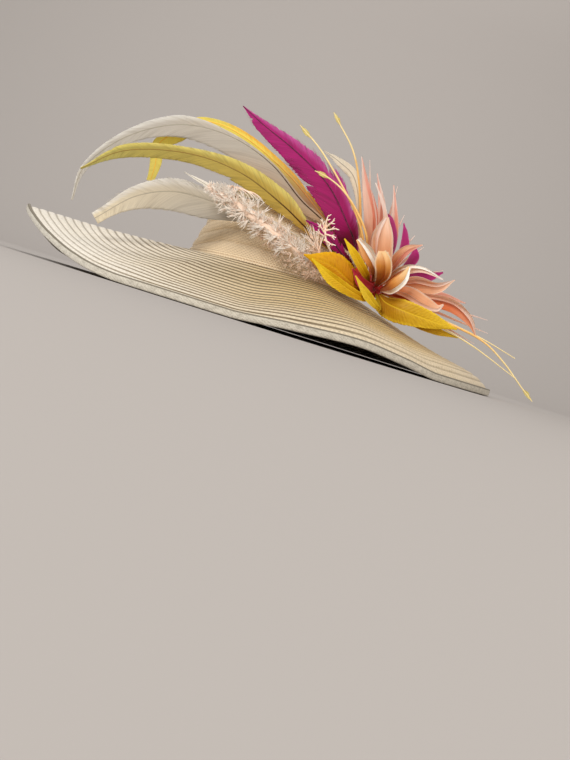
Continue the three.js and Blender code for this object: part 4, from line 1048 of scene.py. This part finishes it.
def vane_parts(rows, right, seed, lean=1.2, ragged=0.08, splits=3, curl=0.0, slot=0, columns=9, pitch=0.8):
    """One side of a feather's vane. Each grid row is a barb: it leaves the shaft at share w and leans
    towards the tip, so its point at share s across lies at share w + lean s width / length of the path. Its
    length is the table's half-width, cut back by a random share and, near each split, by a notch that
    closes along the vane."""
    rng = np.random.default_rng(seed)
    length = path_length(rows)
    count = int(length / pitch)
    w = np.linspace(0, 1, count)
    width = reached_width(rows, right, w, lean / length)
    cut = 1 - ragged * rng.random(count) * rng.random(count)
    notches = (rng.uniform(low, high, splits) for low, high in ((0.2, 0.95), (0.15, 0.5), (2, 7)))
    for place, depth, closing in zip(*notches):
        behind = (w - place) * length
        cut *= 1 - depth * np.where(behind < 0, np.exp(behind / 1.2), np.exp(-behind / closing))
    s = np.linspace(0, 1, columns)[None, :]
    reach = (width * cut)[:, None]
    t = np.clip(w[:, None] + lean * s * reach / length * (1 - w[:, None] ** 6), 0, 1)
    point, _, side, normal = frames(rows, t)
    ridge = 0.1 * np.where(np.arange(count) % 2, 1, -1)[:, None] * s
    drift = 0.5 * np.sin(w * length / 17 + seed)[:, None] * s**2 * np.minimum(reach / 8, 1)
    lift = curl * s**2 * reach + ridge + drift
    middle = point + (1 if right else -1) * side * (s * reach)[..., None] + normal * lift[..., None]
    half = normal * (VANE_HALF * (1 - 0.6 * s))[..., None]
    uv = np.stack(np.broadcast_arrays(w[:, None] * length, s if right else -s), -1)
    return sheet_parts(middle + half, middle - half, uv, np.broadcast_to(w[:, None], t.shape), slot)


def fringe_parts(rows, right, seed, density, over=1.08, spread=0.6):
    """Loose barbs along a vane's edge: each runs from a share of the half-width to a little past the edge."""
    start, lean = 0.6, 1.5
    rng = np.random.default_rng(seed + 500)
    length = path_length(rows)
    count = int(length * density)
    w = np.sort(rng.uniform(0.1, 0.985, count))
    out = reached_width(rows, right, w, lean / length) * over * rng.uniform(0.9, 1.05, count)
    sign = 1 if right else -1

    def at(share, ahead):
        point, _, side, normal = frames(rows, np.clip(w + ahead * share * out / length, 0, 1))
        lift = rng.normal(0, spread, count) * share
        return point + side * (sign * share * out)[:, None] + normal * lift[:, None]

    ahead = lean * rng.uniform(0.8, 1.3, count)
    places = at(start, ahead), at((1 + start) / 2, ahead), at(1.0, ahead * 1.1)
    return strand_parts(*places, BARB_RADIUS, steps=4, share=np.stack([w, w], 1))


def petal_parts(rows, seed, cup=0.2, curl=0.0, wave=0.6, groove=0.0, serrated=0.0, thick=0.5, slot=0):
    """A petal or leaf: across it the height is cup s^2 for its hollow, curl times the square of the last
    quarter for a rolled edge, a wave that grows towards the edge, and a groove along its middle. Its edge
    is cut back a little at random."""
    rng = np.random.default_rng(seed + 900)
    table = np.asarray(rows, float)
    length = path_length(rows)
    count, columns = int(np.clip(length / 1.1, 30, 120)), 25
    w = np.linspace(0, 1, count)
    s = np.linspace(-1, 1, columns)[None, :]
    left, right = smooth_values(table[:, 3], w), smooth_values(table[:, 4], w)
    point, _, side, normal = (v[:, None] for v in frames(rows, w))
    teeth = np.mod(w * length / 2.6, 1.0)
    cut = 1 - 0.03 * rng.random((count, 2)) - serrated * teeth[:, None]
    width = np.where(s < 0, (left * cut[:, 0])[:, None], (right * cut[:, 1])[:, None])
    widest = np.maximum(left, right)[:, None]
    out = np.abs(s)
    roll = np.clip((out - 0.72) / 0.28, 0, 1)
    phase = rng.uniform(0, TURN, 2)
    ripples = [np.sin(w * length / step + p)[:, None] for step, p in zip((7.5, 6.3), phase)]
    ends = np.sin(np.pi * np.clip(w, 0.02, 0.98))[:, None]
    lift = widest * (cup * s**2 + curl * roll**2) + wave * np.where(s < 0, *ripples) * out**2 * ends
    lift = lift - groove * np.exp(-((s / 0.12) ** 2)) * ends
    lift = lift + 0.08 * np.sin(s * 26 + 2 * np.sin(w * 9)[:, None]) * ends
    middle = point + side * (s * width * (1 - 0.35 * curl * roll))[..., None] + normal * lift[..., None]
    half = normal * (thick / 2 * (1 - 0.7 * out**3))[..., None]
    uv = np.stack(np.broadcast_arrays(w[:, None] * length, s), -1)
    return sheet_parts(middle + half, middle - half, uv, np.broadcast_to(w[:, None], lift.shape), slot)


def second_biot(rows, share, sway, seed):
    """A narrower biot over the first one: its path is the first one's moved sideways by sway times the
    half-width and a millimetre or so towards the viewer, and its half-widths are the first one's times the
    share."""
    table = np.asarray(rows, float)
    w = np.linspace(0, 1, len(table))
    _, _, side, normal = frames(rows, w)
    aside = sway * (table[:, 4] if sway > 0 else table[:, 3]) * np.sin(np.pi * w**0.8)
    table[:, :3] += side * aside[:, None] + normal * np.sin(np.pi * w)[:, None] * 1.4
    table[:, 3:] *= share
    return petal_parts(table, seed, cup=0.5, curl=0.3, wave=0.5, thick=0.4, slot=1)


def feather(name, vane, shaft, radius, left, right, fringe_left, fringe_right):
    """A feather: two vanes, a shaft, and loose barbs along the edges that have them."""
    rows = LONG_FEATHERS[name]
    parts = [
        vane_parts(rows, False, **left),
        vane_parts(rows, True, **right),
        shaft_parts(rows, *radius, slot=1, offset=0.15),
    ]
    both = (False, fringe_left), (True, fringe_right)
    fringes = [(right_side, settings) for right_side, settings in both if settings]
    for n, (right_side, settings) in enumerate(fringes):
        parts.append(fringe_parts(rows, right_side, n, **settings))
    return join_parts(name.replace("feather", "vanes"), parts, [LOOKS[vane], LOOKS[shaft]])


def quill(name, seed):
    """A stripped quill: a bare stem, and on those that have one a small paddle of barbs left at the tip."""
    rows = QUILLS[name]
    parts = [shaft_parts(rows, 2 * QUILL_STEM, 0.4, count=80, sides=7)]
    if name.startswith("paddle"):
        first, second, last = rows[-3:]
        middle = np.add(first, second) / 2
        tip = [(*first, 0.5, 0.5), (*middle, 1.5, 1.5), (*second, PADDLE, PADDLE), (*last, 0.4, 0.4)]
        shape = {"lean": 1.0, "ragged": 0.3, "splits": 1, "curl": 0.25, "columns": 6, "pitch": 0.35}
        parts += [vane_parts(tip, right, seed + right, slot=1, **shape) for right in (False, True)]
    looks = [LOOKS["stripped quill"], LOOKS["quill paddle"]]
    return join_parts(name.replace("_quill", "_stem"), parts, looks)


def spiky(path, widths, clusters, each, lengths, seed, radius, share, first=0.12):
    """Small fans of spikes over a soft stem. Each fan has a foot on the side that is seen, and a heading
    drawn between along the path and across it; its spikes turn a little either way from that heading and
    bend back."""
    rng = np.random.default_rng(seed)
    t = np.repeat(np.sort(rng.uniform(first, 1, clusters)), each)
    foot, along, side, normal = frames(path, t)
    width = smooth_values(widths, t)[:, None]
    turn = rng.uniform(-1.45, 1.45, clusters)
    heading = (np.repeat(turn, each) + rng.normal(0, 0.4, len(t)))[:, None]
    lean = (np.repeat(rng.uniform(-0.1, 0.6, clusters), each) + rng.normal(0, 0.2, len(t)))[:, None]
    out = np.repeat(np.sign(turn) * rng.uniform(0.0, 1.0, clusters), each)[:, None]
    foot = foot + side * out * width * 0.95 + normal * width * 0.5 * np.sqrt(1.02 - out**2)
    way = unit(along * np.cos(heading) + side * np.sin(heading) + normal * lean)
    length = rng.uniform(*lengths, (len(t), 1)) * np.clip(width / 8, 0.5, 1.1)
    bend = foot + way * length * 0.55 + normal * length * 0.12
    tip = foot + way * length + along * length * rng.uniform(-0.1, 0.2, (len(t), 1))
    return strand_parts(foot, bend, tip, radius * rng.uniform(0.75, 1.2, len(t)), taper=0.25, share=share)


def plume():
    """The blush plume: a soft lumpy stem, down over it, and fans of pale spikes that point towards its
    tip."""
    t = np.linspace(0, 1, 120)
    point, _, side, normal = frames(PLUME, t)
    turn = np.arange(18) * TURN / 18
    lumps = 1 + 0.1 * np.sin(3 * turn + 40 * t[:, None]) + 0.08 * np.sin(7 * turn - 90 * t[:, None])
    radius = (smooth_values(PLUME_WIDTH, t) * 0.45)[:, None] * lumps
    return join_parts("spiky_plume", [
        tube_parts(point[:, None] + radius[..., None] * ring(turn, side, normal), share=(0.25, 0.5)),
        spiky(PLUME, PLUME_WIDTH, 260, 6, (3, 6), 5, 0.4, (0.2, 0.7)),
        spiky(PLUME, PLUME_WIDTH, 110, 6, (6, 10), 3, 0.6, (0.7, 1.0), 0.3),
        spiky(DOWN, DOWN_WIDTH, 220, 5, (3, 5), 7, 0.22, (0.1, 0.4), 0.0),
    ], [LOOKS["blush spikes"]])


def sprig():
    """The sprig: a stem, its branches, and two short twigs on each branch."""
    stem = shaft_parts(SPRIG, 1.1, 0.9, count=30)
    foot, way = SPRIG_BRANCHES[:, :3], SPRIG_BRANCHES[:, 3:]
    main = strand_parts(foot, foot + way * 0.5 + [0, -1, 0.6], foot + way, 1.05, sides=5, steps=7, taper=0.4)
    rng = np.random.default_rng(8)
    lines = np.repeat(way, 2, 0)
    one_each = (len(lines), 1)
    starts = np.repeat(foot, 2, 0) + lines * rng.uniform(0.35, 0.95, one_each) + [0, -0.5, 0.3]
    across = unit(np.cross(lines, [0, 1.0, 0])) * rng.choice([-1.0, 1.0], one_each)
    tips = starts + unit(lines) * rng.uniform(2, 4.5, one_each) + across * rng.uniform(1, 3, one_each)
    twigs = strand_parts(starts, (starts + tips) / 2 + across * 0.3, tips, 0.8, sides=5, taper=0.4)
    return join_parts("pale_sprig", [stem, main, twigs], [LOOKS["blush spikes"]])


def fanned(foot, tips, each, seed, radius, jitter, arch):
    """Tufts: from one foot, a few strands run to places scattered round each tip, arched sideways half
    way."""
    rng = np.random.default_rng(seed)
    ends = np.repeat(np.array(tips, float), each, 0)
    ends = ends + rng.normal(0, jitter, ends.shape)
    roots = np.array(foot, float) + rng.normal(0, 0.8, ends.shape)
    bend = (roots + ends) / 2 + rng.normal(0, 0.8, ends.shape) + np.array(arch)
    radii = radius * rng.uniform(0.8, 1.15, len(ends))
    return strand_parts(roots, bend, ends, radii, sides=4, steps=6, taper=0.25)


def cream_tuft():
    """The tuft of short cream spikes at the plume's foot: one fan of strands and shorter ones that fork
    off."""
    foot, tips = FAN[0], FAN[1:]
    parts = [fanned(foot, tips, 3, 21, 0.75, 1.3, (0, -1, 1))]
    for n, tip in enumerate(tips):
        fork = np.array(foot) * 0.45 + np.array(tip) * 0.55
        parts.append(fanned(fork, [tip], 4, 30 + n, 0.5, 2.4, (0, -1, 0)))
    return join_parts("cream_tuft", parts, [LOOKS["blush spikes"]])


def white_comb():
    """Curved white barbs above the plume: roots along one short line, tips along another, arched away from
    it."""
    rng = np.random.default_rng(17)
    parts = []
    for start, end, first, last, arch, count in COMB:
        w = np.linspace(0, 1, count)[:, None]
        roots = np.array(start) + np.subtract(end, start) * w + rng.normal(0, 0.5, (count, 3))
        tips = np.array(first) + np.subtract(last, first) * w + rng.normal(0, 1.0, (count, 3))
        parts.append(strand_parts(roots, (roots + tips) / 2 + np.array(arch), tips, 0.8, steps=7, taper=0.3))
    return join_parts("white_comb", parts, [LOOKS["blush spikes"]])


def bound_heart():
    """The heart of the spray: a stub of bound stems, ribbed round its axis, with narrow spikes fused to it.
    A spike is a slim petal from the heart to its tip, its half-width falling almost evenly."""
    at = np.linspace(0, 1, 30)[:, None]
    share = np.interp(at, *zip(*HEART_OUTLINE))
    along = unit(HEART_TO - HEART_FROM)
    across = unit(np.cross([0, 0, 1.0], along))
    turn = np.arange(45) * TURN / 45
    radius = HEART_RADIUS * share * (1 - 0.05 + 0.05 * np.cos(9 * turn + 1.5 * at))
    middle = HEART_FROM + (HEART_TO - HEART_FROM) * at
    stub = middle[:, None] + radius[..., None] * ring(turn, across, np.cross(along, across))
    parts = [tube_parts(stub, 1)]
    root = np.array(SPIKE_ROOT, float)
    for n, (*tip, foot) in enumerate(SPIKES):
        rows = [(*(root + (tip - root) * far), foot * size, foot * size) for far, size in SPIKE_TAPER]
        parts.append(petal_parts(rows, n, cup=0.35, wave=0.3, thick=0.6))
    return join_parts("heart_and_spikes", parts, [LOOKS["peach spike"], LOOKS["bound heart"]])


def felt_pad():
    """The felt pad: an egg turned to lie along the crown, dented by noise-like sines, and pressed out of
    the band wherever it would cut into it."""
    theta, phi = np.linspace(0, np.pi, 32)[:, None], np.arange(48) * TURN / 48
    parts = np.sin(theta) * np.cos(phi), np.sin(theta) * np.sin(phi), np.cos(theta)
    ball = np.stack(np.broadcast_arrays(*parts), -1)
    ball = ball * (1 + 0.015 * np.sin(9 * ball[..., 0:1] + 4) * np.sin(11 * ball[..., 2:3]))
    c, s = math.cos(math.radians(PAD_TURN)), math.sin(math.radians(PAD_TURN))
    along, across, up = np.moveaxis(ball * PAD_SIZE, -1, 0)
    x = along * c - across * s + PAD_PLACE[0]
    y = along * s + across * c + PAD_PLACE[1]
    z = up + PAD_PLACE[2]
    share = np.interp(z - opening_height(x, y), CROWN[:, 0], CROWN[:, 1])
    inside = np.hypot(x / (CROWN_HALF[0] * share + 5), y / (CROWN_HALF[1] * share + 5))
    press = np.maximum(1, 1 / inside)
    return join_parts("felt_pad", [tube_parts(np.stack([x * press, y * press, z], -1))], [LOOKS["felt"]])


put(brim_sheet(), "brim", slot="brim_braid")
put(binding_band(), "rim_binding", slot="binding_braid")
put(crown_cap(), "crown", slot="crown_straw")
put(draped_band(), "crown_drape", slot="mesh_cloth")
for name, (slot, *shape) in FEATHER_SHAPES.items():
    put(feather(name, *shape), name, slot=slot)
for n, name in enumerate(QUILLS):
    put(quill(name, 30 + n), name, slot="quill")
for n, (name, (look, slot, shape)) in enumerate(LEAF_SHAPES.items()):
    blade = petal_parts(LEAVES[name], 60 + n, groove=0.5, thick=0.7, **shape)
    put(join_parts(name.replace("leaf", "blade"), [blade], [LOOKS[look]]), name, slot=slot)
for n, (name, (look, slot, shape, second)) in enumerate(PETAL_SHAPES.items()):
    parts, looks = [petal_parts(PETALS[name], 80 + n, **shape)], [LOOKS[look]]
    if second:
        share, sway, second_look = second
        parts.append(second_biot(PETALS[name], share, sway, 120 + n))
        looks.append(LOOKS[second_look])
    put(join_parts(name.replace("petal", "biot"), parts, looks), name, slot=slot)
put(plume(), "blush_plume", slot="blush_plume")
put(sprig(), "blush_sprig", slot="blush_plume")
put(cream_tuft(), slot="blush_plume")
put(white_comb(), slot="blush_plume")
put(bound_heart(), "spray_heart", slot="peach_petal")
put(felt_pad(), "spray_pad", slot="felt")


# stage, camera and light

def placed(name, data, x, y, z, where):
    """An object with its axes and its place, in the scene."""
    thing = bpy.data.objects.new(name, data)
    thing.matrix_world = Matrix([*zip(x, y, z, where), (0, 0, 0, 1)])
    bpy.context.scene.collection.objects.link(thing)
    return thing


def stage():
    """A pale floor that curves up into the wall behind: a profile of depth and height carried sideways."""
    bend = np.linspace(0, np.pi / 2, 16)
    depth = np.concatenate([[-2.5], WALL_START + WALL_BEND * np.sin(bend), [WALL_START + WALL_BEND]])
    height = np.concatenate([[FLOOR], FLOOR + WALL_BEND * (1 - np.cos(bend)), [4.5]])
    points = [(x, d, h) for x in (-5.0, 5.0) for d, h in zip(depth, height)]
    n = len(depth)
    faces = [[n + k, n + k + 1, k + 1, k] for k in range(n - 1)]
    mesh = bpy.data.meshes.new("studio_floor")
    mesh.from_pydata(points, [], faces)
    mesh.polygons.foreach_set("use_smooth", [True] * len(faces))
    mesh.materials.append(Wires("studio paper").finish(linear((168, 163, 159)), 0.9, specular=0.0))
    floor = bpy.data.objects.new("studio_floor", mesh)
    bpy.context.scene.collection.objects.link(floor)


def area(name, where, towards, size, power, colour):
    light = bpy.data.lights.new(name, "AREA")
    light.shape = "RECTANGLE"
    light.size, light.size_y = size
    light.energy = power
    light.color = colour
    z = unit(np.subtract(where, towards))
    x = unit(np.cross([0, 0, 1.0], z))
    placed(name, light, x, np.cross(z, x), z, where)


def camera():
    """Looks at the hat from just above the floor, turned about its own axis as the hat is worn tilted."""
    yaw, pitch, roll = np.radians(CAMERA_TURN)
    flat = math.cos(pitch)
    ahead = np.array([math.sin(yaw) * flat, math.cos(yaw) * flat, math.sin(pitch)])
    right = unit(np.cross(ahead, [0, 0, 1.0]))
    up = np.cross(right, ahead)
    x = right * math.cos(roll) + up * math.sin(roll)
    y = up * math.cos(roll) - right * math.sin(roll)
    data = bpy.data.cameras.new("camera")
    data.sensor_fit = "VERTICAL"
    data.sensor_height = SENSOR
    data.lens = SENSOR * FOCAL_LENGTH / PICTURE_HEIGHT
    data.clip_start = 0.004
    bpy.context.scene.camera = placed("camera", data, x, y, -ahead, AXIS + CAMERA_PLACE)


stage()
camera()
area("key light", (-1.2, -1.9, 1.3), (0, 0, 0.08), (1.2, 1.2), 47.0, (1.0, 0.98, 0.96))
area("fill light", (1.6, -1.9, 0.9), (0, 0, 0.08), (1.4, 1.2), 18.0, (1.0, 0.92, 0.84))
area("top light", (0.1, 0.4, 2.2), (0, 0, 0.05), (1.6, 1.6), 9.0, (1.0, 0.98, 0.96))
area("wall light", (0.0, 1.0, 2.6), (0, 2.8, 0.7), (2.4, 0.8), 42.0, (1.0, 0.97, 0.95))
world = bpy.data.worlds.new("soft room")
world.use_nodes = True
world.node_tree.nodes["Background"].inputs[0].default_value = (0.86, 0.835, 0.81, 1.0)
world.node_tree.nodes["Background"].inputs[1].default_value = 0.5
bpy.context.scene.world = world
bpy.context.scene.view_settings.view_transform = "Standard"
